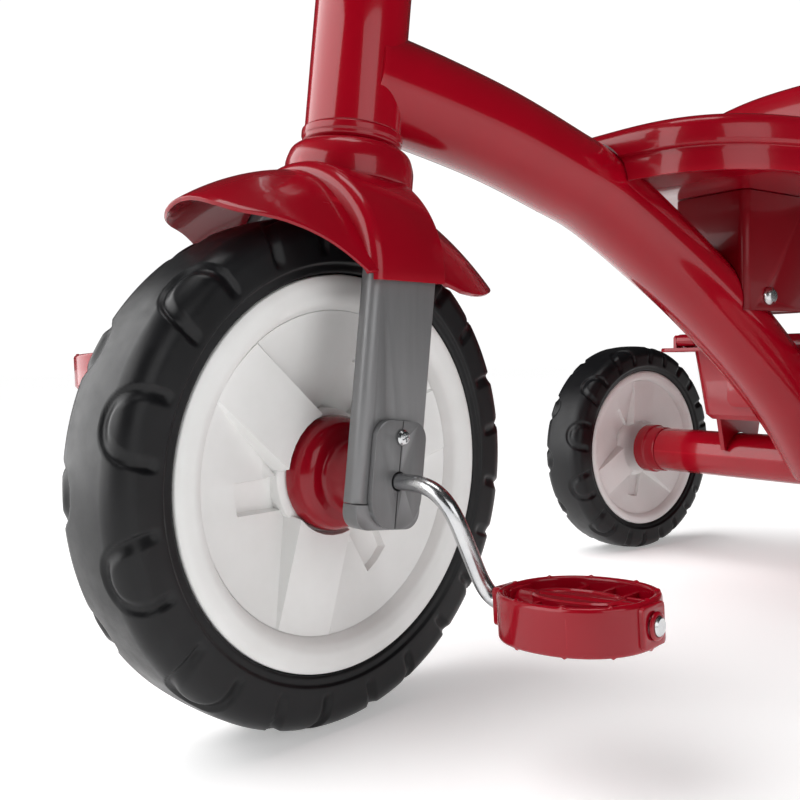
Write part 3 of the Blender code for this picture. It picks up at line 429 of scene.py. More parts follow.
def prism(name, outline, low, high, where=WORLD, axis="z"):
    """Raise a closed outline between two levels of a local axis."""
    order = {"z": lambda a, b, h: (a, b, h), "x": lambda a, b, h: (h, a, b),
             "y": lambda a, b, h: (a, h, b)}[axis]
    grid = [[order(p[0], p[1], level) for p in outline] for level in (low, high)]
    return loft(name, grid, where)


def block(name, low, high, where=WORLD):
    outline = [(low[0], low[1]), (high[0], low[1]), (high[0], high[1]), (low[0], high[1])]
    return prism(name, outline, low[2], high[2], where)


def rounded_box_outline(low, high, radii, steps=6):
    """Rectangle with its own radius at each corner, from low to high, going round."""
    corners = [(low[0], low[1]), (high[0], low[1]), (high[0], high[1]), (low[0], high[1])]
    outline = []
    for i, (corner, radius) in enumerate(zip(corners, radii)):
        here = Vector((*corner, 0))
        before = Vector((*corners[i - 1], 0)) - here
        after = Vector((*corners[(i + 1) % 4], 0)) - here
        start, end = before.normalized(), after.normalized()
        centre = here + (start + end) * radius
        for step in range(steps + 1):
            angle = pi / 2 * step / steps
            point = centre - end * radius * cos(angle) - start * radius * sin(angle)
            outline.append((point.x, point.y))
    return outline


def hexagon(radius):
    return [(radius * cos(pi * i / 3), radius * sin(pi * i / 3)) for i in range(6)]


def superellipse(half_x, half_y, power, count):
    loop = []
    for i in range(count):
        c, s = cos(2 * pi * i / count), sin(2 * pi * i / count)
        loop.append((half_x * abs(c) ** (2 / power) * (1 if c >= 0 else -1),
                     half_y * abs(s) ** (2 / power) * (1 if s >= 0 else -1)))
    return loop


def smooth_line(points, steps):
    """A Catmull-Rom line through its points."""
    guide = [Vector(point) for point in points]
    guide = [guide[0] * 2 - guide[1]] + guide + [guide[-1] * 2 - guide[-2]]
    line = []
    for a, b, c, d in zip(guide, guide[1:], guide[2:], guide[3:]):
        for step in range(steps):
            t = step / steps
            line.append(0.5 * (2 * b + (c - a) * t + (2 * a - 5 * b + 4 * c - d) * t ** 2
                               + (3 * b - a - 3 * c + d) * t ** 3))
    line.append(guide[-2])
    return line


def shift(where, x=0.0, y=0.0, z=0.0):
    return where @ Matrix.Translation((x, y, z))


# ---------------------------------------------------------------- tyres
ARCHES = 12                     # arch grooves on each shoulder
ARCH_HALF_ANGLE = radians(8.2)
GROOVE_DEPTH = 0.0017
CROWN = 0.0005                  # fall of the tread from its middle to its edge


def tyre_section(outer, inner, half, count):
    """Section points (radius, x, distance from the tread centre) of one half of a tyre."""
    shoulder = (outer - inner) * 0.42
    flat = half * 0.52
    points = [(outer - CROWN * (i / 8) ** 2, flat * i / 8) for i in range(9)]
    for i in range(1, 15):
        angle = pi / 2 * i / 14
        points.append((outer - shoulder + (shoulder - CROWN) * cos(angle),
                       flat + (half - flat) * sin(angle)))
    foot = outer - shoulder
    bead = inner + (foot - inner) * 0.33
    points += [(foot - (foot - bead) * t, half) for t in (0.25, 0.5, 0.75)]
    points += [(bead, half - 0.0001), (bead - 0.0006, half - 0.0012), (inner + 0.0012, half - 0.0016),
               (inner + 0.0003, half - 0.0024)]
    line = np.array(points)
    lengths = np.concatenate([[0], np.cumsum(np.hypot(*np.diff(line, axis=0).T))])
    at = np.linspace(0, lengths[-1], count)
    return (np.interp(at, lengths, line[:, 0]), np.interp(at, lengths, line[:, 1]), at,
            lengths[22] + (foot - bead) * 0.55)


def groove_depth(angle, along, crown, foot, tread_radius):
    """Depth of the arch grooves at an angle and a distance along the section."""
    pitch = 2 * pi / ARCHES
    off = (angle + pitch / 2) % pitch - pitch / 2
    width, length = ARCH_HALF_ANGLE * tread_radius, foot - crown
    a = np.abs(off * tread_radius) / width
    m = np.abs(foot - along) / length
    power = 2.15
    level = (a ** power + m ** power) ** (1 / power) + 1e-9
    slope = np.hypot(a ** (power - 1) / width, m ** (power - 1) / length) / level ** (power - 1) + 1e-9
    away = (level - 1) / slope
    wall = np.where(away > 0, 0.0016, 0.0058)
    trough = np.clip(1 - (away / wall) ** 2, 0, 1) ** 1.4
    fade = np.clip((foot - along) / 0.0050 + 0.55, 0, 1)
    return GROOVE_DEPTH * trough * fade * fade * (3 - 2 * fade)


def make_tyre(name, body, where, outer, inner, half, first_arch, turns, across):
    """Tyre with arch grooves on both shoulders, the two sides half a pitch apart."""
    radius, x, along, foot = tyre_section(outer, inner, half, across)
    crown = half * 0.42
    angles = np.linspace(0, 2 * pi, turns, endpoint=False)
    grid_rows = []
    for side in (1, -1):
        lag = first_arch + (0 if side > 0 else pi / ARCHES)
        angle, distance = np.meshgrid(angles, along, indexing="ij")
        depth = groove_depth(angle - lag, distance, crown, foot, outer)
        nr, nx = np.gradient(x, along), -np.gradient(radius, along)
        r = radius[None, :] - depth * nr[None, :]
        h = side * (x[None, :] - depth * nx[None, :])
        grid_rows.append((r, h))
    r = np.hstack([grid_rows[1][0][:, ::-1], grid_rows[0][0][:, 1:]])
    h = np.hstack([grid_rows[1][1][:, ::-1], grid_rows[0][1][:, 1:]])
    grid = np.stack([h, -r * np.sin(angles)[:, None], r * np.cos(angles)[:, None]], axis=2)
    item = surface(name, grid.tolist(), where, wrap_rows=True, wrap_columns=True)
    return finish(item, "black_tyre", body, sharp=60)


# ---------------------------------------------------------------- moulded rims
SPOKE_ANGLES = (49.4, 164.0, 287.0)     # from the top towards the front


def rim_ring(name, where, radius, half, ring):
    """Broad rounded outer ring of a rim."""
    inner = radius - ring
    side = [(inner, half * 0.40), (inner + ring * 0.03, half * 0.66), (inner + ring * 0.20, half * 0.90),
            (inner + ring * 0.42, half * 0.985), (radius - ring * 0.20, half),
            (radius - ring * 0.03, half * 0.955), (radius - 0.0002, half * 0.90)]
    profile = side + [(r, -x) for r, x in reversed(side)]
    return lathe(name, profile, where, "x", 192, 0.0016, True)


def dish_half(reach, hub, levels, side, turn):
    """Rows of points for one face of the pinwheel dish.

    It has three flat spokes, a creased web between each two and a pocket beside each crease.
    """
    top, web, crease, sunk = levels
    starts = [radians(angle + turn) for angle in SPOKE_ANGLES]
    half_width = reach * 0.205
    outer_half, inner_half = asin(half_width / reach), asin(min(0.95, half_width / hub))
    lines = []
    for i, start in enumerate(starts):
        gap = (starts[(i + 1) % 3] - start) % (2 * pi)
        lip, foot = radians(0.9), radians(5.0)
        lines += [
            (start - outer_half, start - inner_half, top, top, False),
            (start + outer_half, start + inner_half, top, top, False),
            (start + outer_half + lip, start + inner_half + foot, top - 0.0005, web, False),
            (start + radians(40.6), start + inner_half + foot + radians(2), top - 0.0004, crease, False),
            (start + radians(41.4), start + inner_half + foot + radians(4), top - 0.0006, crease, True),
            (start + radians(50.0), start + gap - inner_half - radians(11), top - 0.0005, web, True),
            (start + radians(51.0), start + gap - inner_half - radians(9), top - 0.0004, web, False),
            (start + gap - outer_half - lip, start + gap - inner_half - foot, top - 0.0006, web, False),
        ]
    levels_down = (0.0, 0.15, 0.3, 0.42, 0.436, 0.6, 0.8, 1.0)
    columns = []
    for k, line in enumerate(lines):
        following = lines[(k + 1) % len(lines)]
        span = (following[0] - line[0]) % (2 * pi)
        parts = max(1, round(degrees(span) / 4))
        for part in range(parts):
            t = part / parts
            outer_angle = line[0] + t * span
            inner_span = (following[1] - line[1]) % (2 * pi)
            inner_angle = line[1] + t * inner_span
            sunken = line[4] and (following[4] or part == 0)
            columns.append((outer_angle, inner_angle, line[2] + t * (following[2] - line[2]),
                            line[3] + t * (following[3] - line[3]), sunken))
    grid = []
    for down in levels_down:
        row = []
        for outer_angle, inner_angle, high, low, sunken in columns:
            start = Vector((0, -reach * sin(outer_angle), reach * cos(outer_angle)))
            end = Vector((0, -hub * sin(inner_angle), hub * cos(inner_angle)))
            point = start.lerp(end, down)
            level = high + (low - high) * down - (sunk if sunken and down > 0.43 else 0)
            row.append((side * level, point.y, point.z))
        grid.append(row)
    hub_row = grid[-1]
    grid.append([(side * 0.0050, y * 0.9, z * 0.9) for _, y, z in hub_row])
    grid.insert(0, [(side * 0.0050, y * 1.006, z * 1.006) for _, y, z in grid[0]])
    return grid


def make_rim(name, body, where, radius, half, ring, levels, hub, turn):
    """Rim: outer ring, pinwheel dish on both faces and a hub barrel."""
    reach = radius - ring + 0.0006
    parts = [rim_ring(name + "_ring", where, radius, half, ring)]
    near, far = (dish_half(reach, hub, levels, side, turn) for side in (1, -1))
    parts.append(surface(name + "_dish", near + far[::-1], where, wrap_rows=True, wrap_columns=True))
    boss = levels[0] - 0.0055
    parts.append(lathe(name + "_boss", [(ROD_BORE, boss), (hub * 0.9, boss), (hub + 0.0012, boss - 0.002),
                                        (hub + 0.0012, 0.002 - boss), (hub * 0.9, -boss),
                                        (ROD_BORE, -boss)], where, "x", 96, 0.001, True))
    return finish(merge(name, parts), "white_plastic", body, sharp=12)


# ---------------------------------------------------------------- front wheel, crank and pedals
def make_front_wheel():
    make_tyre("front_tyre_look", "front_wheel", WHEEL, FRONT_RADIUS, FRONT_RIM_RADIUS,
              0.026, radians(45.3), 720, 60)
    make_rim("front_rim_look", "front_wheel", WHEEL, FRONT_RIM_RADIUS, 0.0255, 0.018,
             (0.0178, 0.0062, 0.0092, 0.0042), 0.031, 0.0)
    for side_name, side in SIDES:
        section = [(ROD_BORE, 0.0123), (0.0289, 0.0123), (0.0290, 0.0150), (0.0287, 0.0180),
                   (0.0277, 0.0215), (0.0258, 0.0245), (0.0232, 0.0264), (0.0205, 0.0270), (0.0186, 0.0274),
                   (0.0174, 0.0286), (0.0168, 0.0306), (0.0165, 0.0340), (0.0164, 0.0457), (0.0158, 0.0464),
                   (ROD_BORE, 0.0464)]
        cap = lathe("front_hub_cap_look_" + side_name, mirrored(section, side), WHEEL, "x", 120,
                    0.0012, True)
        finish(cap, "red_plastic", "front_wheel")


CRANK_DROP = 0.052
CRANK_BACK = 0.018
SPINDLE_START = 0.100
SPINDLE_END = 0.1856
SPINDLE_TILT = radians(4.0)     # the ends of the rod lean in towards the axle


def spindle_frame(side):
    """Frame whose X runs along a pedal's spindle and whose centre is in the tricycle's middle."""
    drop = CRANK_DROP + SPINDLE_START * sin(SPINDLE_TILT)
    return shift(WHEEL, 0, side * CRANK_BACK, -side * drop) @ Matrix.Rotation(-SPINDLE_TILT, 4, "Y")


def bend(before, corner, after, reach_in, reach_out, steps=10):
    before, corner, after = Vector(before), Vector(corner), Vector(after)
    start = corner + (before - corner).normalized() * reach_in
    end = corner + (after - corner).normalized() * reach_out
    return [start * (1 - t) ** 2 + corner * 2 * t * (1 - t) + end * t ** 2
            for t in (step / steps for step in range(steps + 1))]


def make_crank():
    """Bent rod through the wheel, with a pressed cap on each end outside the pedal."""
    along = Vector((cos(SPINDLE_TILT), 0.0, sin(SPINDLE_TILT)))
    start = Vector((SPINDLE_START, CRANK_BACK, -CRANK_DROP))
    end = start + along * (SPINDLE_END - SPINDLE_START) / cos(SPINDLE_TILT)
    half = [(0.0, 0.0, 0.0), (0.088, 0.0, 0.0), start, end]
    out = [Vector(half[0])] + bend(half[0], half[1], half[2], 0.016, 0.020)
    out += bend(half[1], half[2], half[3], 0.014, 0.0085) + [end - along * 0.0008, end]
    back = [Vector((-p.x, -p.y, -p.z)) for p in reversed(out[1:])]
    line = back + out
    radii = [ROD_RADIUS] * len(line)
    radii[0] = radii[-1] = ROD_RADIUS - 0.0008
    finish(sweep("crank_rod_look", line, radii, WHEEL, 40), "zinc_steel", "front_wheel")
    for side_name, side in SIDES:
        profile = [(0.0042, 0.1834), (0.0054, 0.1834), (0.0058, 0.1838), (0.0055, 0.1846), (0.0042, 0.1850)]
        cap = lathe("pedal_cap_look_" + side_name, mirrored(profile, side),
                    spindle_frame(side), "x", 48, 0.0003, True)
        finish(cap, "red_plastic", "front_wheel")


PEDAL_X = 0.148


def pedal_ring(name, where):
    """Oval wall with rolled rims and small grip nubs along both of them."""
    count, nubs = 320, 10
    outline = superellipse(0.0340, 0.0310, 2.2, count)
    section = [(0.0, -0.0086), (0.0, 0.0086), (-0.0006, 0.0096), (-0.0016, 0.0100), (-0.0030, 0.0097),
               (-0.0035, 0.0088), (-0.0030, 0.0), (-0.0035, -0.0088), (-0.0030, -0.0097),
               (-0.0016, -0.0100), (-0.0006, -0.0096)]
    section = [(p.x, p.y) for p in rounded([(a, b, 0) for a, b in section], 0.0006, 2, True)]
    grid = []
    for i, (x, y) in enumerate(outline):
        before, after = outline[i - 1], outline[(i + 1) % count]
        normal = Vector((after[1] - before[1], before[0] - after[0], 0)).normalized()
        turn = 2 * pi * i / count
        nub = max(0.0, cos(turn * nubs) - 0.975) / 0.025
        row = []
        for offset, z in section:
            level = z
            if abs(z) > 0.0094 and -0.0026 < offset < -0.0003:
                level = (abs(z) + 0.0006 * min(1.0, nub * 2)) * (1 if z > 0 else -1)
            row.append((x + normal.x * offset, y + normal.y * offset, level))
        grid.append(row)
    return surface(name, grid, where, wrap_rows=True, wrap_columns=True)


def make_pedal(side_name, side):
    """Pedal: oval ring, spindle sleeve, cross bars with a raised oval pad, square end bosses."""
    name = "pedal_look_" + side_name
    spindle = spindle_frame(side)
    if side < 0:
        spindle = spindle @ Matrix.Rotation(pi, 4, "Z")
    here = shift(spindle, PEDAL_X, 0, 0)
    parts = [settle(pedal_ring(name + "_ring", here))]
    parts.append(settle(lathe(name + "_sleeve", hoop(ROD_BORE, 0.0078, -0.0325, 0.0325), here, "x", 48,
                              0.0005, True)))
    for x in (-0.0125, 0.0, 0.0125):
        rib = block(name + "_rib", (x - 0.0011, -0.0292, -0.0062), (x + 0.0011, 0.0292, 0.0060), here)
        parts.append(settle(bevel(rib, 0.0004, 2)))
    for y in (-0.0165, 0.0165):
        rib = block(name + "_long", (-0.0235, y - 0.0011, -0.0055), (0.0235, y + 0.0011, 0.0055), here)
        parts.append(settle(bevel(rib, 0.0004, 2)))
    pad_edge = superellipse(0.0215, 0.0118, 2.2, 72)
    pad = loft(name + "_pad", [[(x * s, y * s, z) for x, y in pad_edge] for s, z in (
        (0.94, 0.0035), (1.0, 0.0042), (1.0, 0.0072), (0.95, 0.0079), (0.86, 0.0079), (0.83, 0.0072))],
        here)
    parts.append(settle(pad, 40))
    parts.append(settle(lathe(name + "_hubring", hoop(ROD_BORE, 0.0088, -0.0358, -0.0300), here, "x", 40,
                              0.0006, True)))
    for low, high in ((-0.0390, -0.0290), (0.0295, 0.0350)):
        boss = prism(name + "_boss", rounded_box_outline((-0.0085, -0.0085), (0.0085, 0.0085), [0.002] * 4),
                     low, high, here, "x")
        hole = lathe(name + "_hole", round_bar(ROD_BORE, -0.06, 0.06), here, "x", 40)
        parts.append(settle(bevel(cut(boss, hole), 0.0005, 2)))
    finish(merge(name, parts), "red_plastic", side_name + "_pedal")


# ---------------------------------------------------------------- fork
def make_fork():
    """Legs with a shallow seam down the outside, and a split bushing housing at each foot."""
    for side_name, side in SIDES:
        near, far = sorted((side * LEG_INNER, side * LEG_OUTER))
        radii = [0.0012, 0.0048, 0.0012, 0.0010] if side > 0 else [0.0048, 0.0012, 0.0010, 0.0012]
        outline = rounded_box_outline((near, LEG_FRONT), (far, LEG_REAR), radii, 8)
        leg = prism("leg", outline, LEG_SEAM, 0.1020, COLUMN)
        slot_x = sorted((side * (LEG_OUTER - 0.0012), side * (LEG_OUTER + 0.002)))
        seam = block("seam", (slot_x[0], LEG_FRONT + 0.0078, -0.02),
                     (slot_x[1], LEG_FRONT + 0.0084, 0.018), COLUMN)
        hole = lathe("hole", round_bar(0.0046, -0.01, 0.01),
                     shift(COLUMN, side * 0.0525, AXLE_IN_COLUMN.y, AXLE_IN_COLUMN.z), "x", 40)
        finish(bevel(cut(leg, seam, hole), 0.0005, 2, 50), "grey_plastic", "steering",
               "fork_leg_" + side_name, sharp=30)
        make_bushing(side_name, side)


def bushing_outline(low_y, high_y):
    """Raised boss in (y, s) about the axle: round corners, a rounder foot, cut at the split."""
    bottom = LEG_BOTTOM - AXLE_IN_COLUMN.z + 0.0006
    loop = []
    for corner_y, corner_s, radius, start in ((1, BOSS_TOP, 0.0088, 0.0), (-1, BOSS_TOP, 0.0088, pi / 2),
                                              (-1, bottom, 0.0150, pi), (1, bottom, 0.0150, 1.5 * pi)):
        centre_y = corner_y * (BOSS_HALF_WIDTH - radius)
        centre_s = corner_s - radius if corner_s > 0 else corner_s + radius
        for step in range(13):
            angle = start + pi / 24 * step
            y = centre_y + radius * cos(angle)
            loop.append((min(high_y, max(low_y, y)), centre_s + radius * sin(angle)))
    kept = [loop[0]]
    for point in loop[1:]:
        if (Vector(point) - Vector(kept[-1])).length > 0.0002:
            kept.append(point)
    return kept


def make_bushing(side_name, side):
    """Two halves that meet on a vertical split, and the cross-head screw above the axle."""
    boss_at = shift(COLUMN, side * (LEG_OUTER + 0.0003), AXLE_IN_COLUMN.y, AXLE_IN_COLUMN.z)
    seam = 0.00035
    for half_name, low_y, high_y in (("front", -1, -seam), ("rear", seam, 1)):
        name = "axle_bushing_look_" + half_name + "_" + side_name
        low, high = sorted((0.0, side * 0.0030))
        boss = prism(name + "_boss", bushing_outline(low_y, high_y), low, high, boss_at, "x")
        rod_hole = lathe("rod_hole", round_bar(0.0047, -0.05, 0.05), boss_at, "x", 48)
        screw_hole = lathe("screw_hole", round_bar(0.0022, -0.05, 0.05),
                           shift(boss_at, 0, 0, BOSS_SCREW_HEIGHT), "x", 32)
        parts = [settle(bevel(cut(boss, rod_hole, screw_hole), 0.0006, 3))]
        parts.append(settle(bushing_foot(name + "_foot", half_name, side, seam)))
        finish(merge(name, parts), "grey_plastic", "steering")
    profile = [(0, 0.0021), (0.0014, 0.0021), (0.0030, 0.0017), (0.0038, 0.0007), (0.0038, 0.0001),
               (0.0017, 0.0001), (0.0017, -0.012), (0, -0.012)]
    spot = shift(boss_at, side * 0.0033, 0, BOSS_SCREW_HEIGHT)
    screw = lathe("bushing_screw_look_" + side_name, mirrored(profile, side), spot, "x", 48)
    tools = [block("cross", (-0.004 if side < 0 else 0.0012, -a, -b),
                   (-0.0012 if side < 0 else 0.004, a, b), spot @ Matrix.Rotation(radians(25), 4, "X"))
             for a, b in ((0.0022, 0.00045), (0.00045, 0.0022))]
    finish(cut(screw, *tools), "zinc_steel", "steering", sharp=30)


def bushing_foot(name, half_name, side, seam):
    """The part of the housing that closes the leg's open lower end."""
    axle_y, bottom = AXLE_IN_COLUMN.y, LEG_BOTTOM
    near, far = sorted((side * (LEG_INNER + 0.0003), side * (LEG_OUTER + 0.0005)))
    if half_name == "front":
        low_y, high_y, radii = LEG_FRONT + 0.0002, axle_y - seam, [0.0085, 0.0003, 0.0003, 0.0003]
    else:
        low_y, high_y, radii = axle_y + seam, LEG_REAR + 0.0006, [0.0003, 0.0085, 0.0003, 0.0003]
    outline = rounded_box_outline((low_y, bottom), (high_y, LEG_SEAM - 0.0003), radii, 8)
    return bevel(prism(name, outline, near, far, COLUMN, "x"), 0.0012, 3)


# ---------------------------------------------------------------- fender
VISOR_THICKNESS = 0.0024
SHROUD_WALL = 0.0014


def fender_height(x, y):
    return sqrt(FENDER_RADIUS ** 2 - y ** 2) - 0.0525 * (x / 0.060) ** 2


def make_fender():
    """Visor with a rounded edge, arched shroud and collar, hollow underneath."""
    front = smooth_line([(0.0, -0.0762, 0), (0.010, -0.0755, 0), (0.020, -0.0730, 0), (0.030, -0.0660, 0),
                         (0.040, -0.0500, 0), (0.050, -0.0330, 0), (0.060, -0.0186, 0)], 5)
    front = [(p.x, p.y) for p in front]
    rows = []
    lengthwise = 48
    for step in range(lengthwise + 1):
        t = step / lengthwise
        half = []
        for x, y_front in front:
            y_rear = 0.036 + 0.076 * sqrt(max(0.0, 1 - (x / 0.0605) ** 2))
            half.append((x, y_front + t * (y_rear - y_front)))
        full = [(-x, y) for x, y in reversed(half[1:])] + half
        rows.append([(x, y, fender_height(x, y)) for x, y in full])
    visor = surface("visor", rows, WHEEL)
    shell = visor.modifiers.new("thickness", "SOLIDIFY")
    shell.thickness = VISOR_THICKNESS
    up = visor.data.polygons[len(visor.data.polygons) // 2].normal.dot(WHEEL_UP)
    shell.offset = -1.0 if up > 0 else 1.0
    shell.use_even_offset = True
    settle(bevel(visor, 0.0007, 2, 50))
    shroud = make_shroud()
    collar = lathe("collar", [(0, 0.1450), (0.0335, 0.1450), (0.0335, 0.1560), (0.0312, 0.1630),
                              (0.0268, 0.1660), (0, 0.1660)], COLUMN, "z", 120, 0.0022)
    cut(visor, shroud, collar, operation="UNION")
    hollow_arch = [(0.0585 * cos(pi * i / 48), 0.0555 * sin(pi * i / 48)) for i in range(49)]
    hollow_arch = [(0.0585, -0.02)] + hollow_arch + [(-0.0585, -0.02)]
    hollow = prism("hollow", [(x, z + SHROUD_BASE) for x, z in hollow_arch], SHROUD_FRONT + SHROUD_WALL,
                   SHROUD_REAR - SHROUD_WALL, WHEEL, "y")
    below = []
    for step in range(17):
        y = -0.085 + (SHROUD_FRONT + 0.0030 + 0.085) * step / 16
        ridge = [(x, y, fender_height(x, y) - VISOR_THICKNESS)
                 for x in (0.0580 * (i / 12 - 1) for i in range(25))]
        below.append([(-0.0580, y, 0.05)] + ridge + [(0.0580, y, 0.05)])
    under_visor = loft("under_visor", below, WHEEL)
    room = lathe("room", round_bar(FRONT_RADIUS + 0.005, -0.030, 0.030), WHEEL, "x", 128)
    bore = lathe("bore", round_bar(0.0115, 0.10, 0.20), COLUMN, "z", 48)
    finish(cut(visor, hollow, under_visor, room, bore), "red_plastic", "steering", "front_fender", sharp=28)


def make_shroud():
    """Arch over the fork, with a full round on its front edge and a crisp rear one."""
    samples, front_round = 96, 0.0062
    section = [(SHROUD_FRONT + front_round * (1 - cos(pi / 2 * i / 8)),
                front_round * (1 - sin(pi / 2 * i / 8))) for i in range(9)]
    section += [(SHROUD_REAR - 0.0012, 0.0), (SHROUD_REAR - 0.0004, 0.0003), (SHROUD_REAR, 0.0012)]
    grid = []
    for y, inset in section:
        half = SHROUD_HALF_WIDTH - inset
        row = [(half, y, SHROUD_BASE - 0.003)]
        for i in range(samples + 1):
            angle = pi * i / samples
            row.append((half * cos(angle), y, SHROUD_BASE + (SHROUD_RISE - inset) * sin(angle)))
        row.append((-half, y, SHROUD_BASE - 0.003))
        grid.append(row)
    return settle(loft("shroud", grid, WHEEL))


# ---------------------------------------------------------------- column, handlebar and head
def make_column():
    """Steel steerer and the plastic yoke that joins the two legs."""
    steerer = lathe("steerer_look", round_bar(0.0110, 0.1530, STEERER_TOP), COLUMN, "z", 64, 0.0006)
    finish(steerer, "zinc_steel", "steering")
    outer = [(0.0560 * cos(a), 0.0545 * sin(a)) for a in arc_angles(0.010, 0.0545)]
    inner = [(0.0440 * cos(a), 0.0400 * sin(a)) for a in arc_angles(0.010, 0.0400)]
    loop = [(x, z + SHROUD_BASE) for x, z in outer + inner[::-1]]
    yoke = prism("fork_yoke_look", loop, -0.0120, 0.0280, WHEEL, "y")
    finish(bevel(yoke, 0.0015, 3, 40), "grey_plastic", "steering")


def arc_angles(foot, rise, count=48):
    start = asin(foot / rise)
    return [start + (pi - 2 * start) * i / count for i in range(count + 1)]


def make_handlebar():
    """Bent bar in a split clamp, with a ribbed grip on each end."""
    top = STEERER_TOP + 0.0130
    half = [(0.060, 0.0, top), (0.135, 0.038, top - 0.004), (0.196, 0.070, top - 0.016)]
    corners = [Vector((-x, y, s)) for x, y, s in reversed(half)] + [Vector(p) for p in half]
    line = rounded(corners, 0.026, 10)
    finish(sweep("handlebar_look", line, 0.0095, COLUMN, 40), "zinc_steel", "steering")
    for side_name, end, inner in (("left", corners[-1], corners[-2]), ("right", corners[0], corners[1])):
        along = (inner - end).normalized()
        shape = [(-0.0036, 0.0100), (-0.0030, 0.0126), (-0.0010, 0.0138), (0.0015, 0.0138),
                 (0.0035, 0.0126)]
        for i in range(12):
            base = 0.0050 + i * 0.0030
            shape += [(base, 0.0121), (base + 0.0008, 0.0129), (base + 0.0019, 0.0129),
                      (base + 0.0027, 0.0121)]
        shape += [(0.0415, 0.0128), (0.0430, 0.0142), (0.0450, 0.0142), (0.0460, 0.0128), (0.0460, 0.0099)]
        points = [end + along * t for t, _ in shape]
        grip = sweep("grip_look_" + side_name, points, [r for _, r in shape], COLUMN, 48)
        finish(grip, "black_grip", "steering")
    make_clamp(top)


def make_clamp(bar_height):
    low, high = STEERER_TOP - 0.040, bar_height + 0.0144
    clamp = prism("handlebar_clamp_look", rounded_box_outline((-0.020, -0.0175), (0.020, 0.0175),
                                                              [0.006] * 4), low, high, COLUMN)
    bar = lathe("bar_room", round_bar(0.0099, -0.05, 0.05), shift(COLUMN, 0, 0, bar_height), "x", 48)
    stem = lathe("stem_room", round_bar(0.0114, 0.20, STEERER_TOP + 0.0006), COLUMN, "z", 48)
    split = block("split", (-0.03, -0.03, bar_height - 0.0004), (0.03, 0.03, bar_height + 0.0004), COLUMN)
    bolt_at = shift(COLUMN, 0, -0.0175, low + 0.010) @ FACING_FRONT
    seat = lathe("bolt_room", round_bar(0.0031, -0.006, 0.01), bolt_at, "z", 32)
    finish(bevel(cut(clamp, bar, stem, split, seat), 0.0010, 3, 40), "grey_plastic", "steering")
    head = [(0, 0.0035), (0.0032, 0.0035), (0.0046, 0.0031), (0.0055, 0.0022), (0.0055, 0.0004),
            (0.0028, 0.0004), (0.0028, -0.0050), (0, -0.0050)]
    bolt = lathe("clamp_bolt_look", head, bolt_at, "z", 48)
    socket = prism("socket", hexagon(0.0020), 0.0015, 0.0060, bolt_at)
    finish(cut(bolt, socket), "zinc_steel", "steering", sharp=30)


def make_head():
    """Head tube with a flanged bushing in each end."""
    bore = 0.0210
    profile = hoop(bore, HEAD_TUBE_RADIUS, HEAD_TUBE_BOTTOM, HEAD_TUBE_TOP)
    tube = lathe("head_tube_look", profile, HEAD, "z", 160, 0.0006, True)
    finish(tube, "red_paint", "frame")
    for end_name, edge, out in (("lower", HEAD_TUBE_BOTTOM, -1), ("upper", HEAD_TUBE_TOP, 1)):
        flange = HEAD_TUBE_RADIUS + 0.0014
        section = [(0.0113, -0.020), (0.0207, -0.020), (0.0207, 0.0003), (flange - 0.0004, 0.0003),
                   (flange, 0.0010), (flange, 0.0040), (flange - 0.0006, 0.0050), (flange - 0.0006, 0.0066),
                   (flange - 0.0020, 0.0081), (0.0113, 0.0081)]
        bushing = lathe("head_bushing_look_" + end_name, [(r, edge + out * h) for r, h in section], HEAD,
                        "z", 120, 0.0005, True)
        finish(bushing, "red_plastic", "frame")


# ---------------------------------------------------------------- frame tubes
def main_tube_line():
    knots = [(0.030, 0.3305), (0.0780, 0.3225), (0.1256, 0.3124), (0.1716, 0.2990), (0.2100, 0.2860),
             (0.2645, 0.2576), (0.3180, 0.2260), (0.3740, 0.1880), (0.4260, 0.1460), (0.4700, 0.1010)]
    return smooth_line([(0, y - REAR_AXLE_Y, z) for y, z in knots], 10)


def main_tube_room(gap):
    """Tool that leaves room for the main tube and a gap round it."""
    return sweep("tube_room", main_tube_line(), MAIN_TUBE_RADIUS + gap, WORLD, 64)


def make_main_tube():
    """Curved steel tube, coped onto the head tube and the axle tube."""
    tube = sweep("main_tube_look", main_tube_line(), MAIN_TUBE_RADIUS, WORLD, 96)
    head = lathe("head_cope", round_bar(HEAD_TUBE_RADIUS - 0.0004, 0.10, 0.32), HEAD, "z", 96)
    axle = lathe("axle_cope", round_bar(AXLE_TUBE_RADIUS - 0.0004, -0.05, 0.05), REAR, "x", 96)
    finish(cut(tube, head, axle), "red_paint", "frame", sharp=40)


def make_rear_axle():
    """Axle tube and rod, with a collar and a retainer outside each end."""
    half = 0.155
    tube = lathe("rear_axle_tube_look", hoop(0.0170, AXLE_TUBE_RADIUS, -half, half), REAR, "x", 96, 0.0005,
                 True)
    finish(tube, "red_paint", "frame")
    rod = REAR_WHEEL_X + 0.016
    finish(lathe("rear_axle_rod_look", round_bar(0.005, -rod, rod), REAR, "x", 48, 0.0006),
           "zinc_steel", "frame")
    for side_name, side in SIDES:
        section = [(0.0053, 0.1433), (0.0167, 0.1433), (0.0167, 0.1553), (0.0204, 0.1553), (0.0209, 0.1600),
                   (0.0211, 0.1655), (0.0224, 0.1668), (0.0224, 0.1762), (0.0216, 0.1775), (0.0053, 0.1775)]
        collar = lathe("axle_collar_look_" + side_name, mirrored(section, side), REAR, "x", 96,
                       0.0005, True)
        finish(collar, "red_plastic", "frame")
        start = REAR_WHEEL_X + 0.0105
        washer = lathe("axle_retainer_look_" + side_name,
                       [(0.0053, side * start), (0.0095, side * start), (0.0095, side * (start + 0.0013)),
                        (0.0053, side * (start + 0.0015))], REAR, "x", 48, 0.0002, True)
        finish(washer, "zinc_steel", "frame")


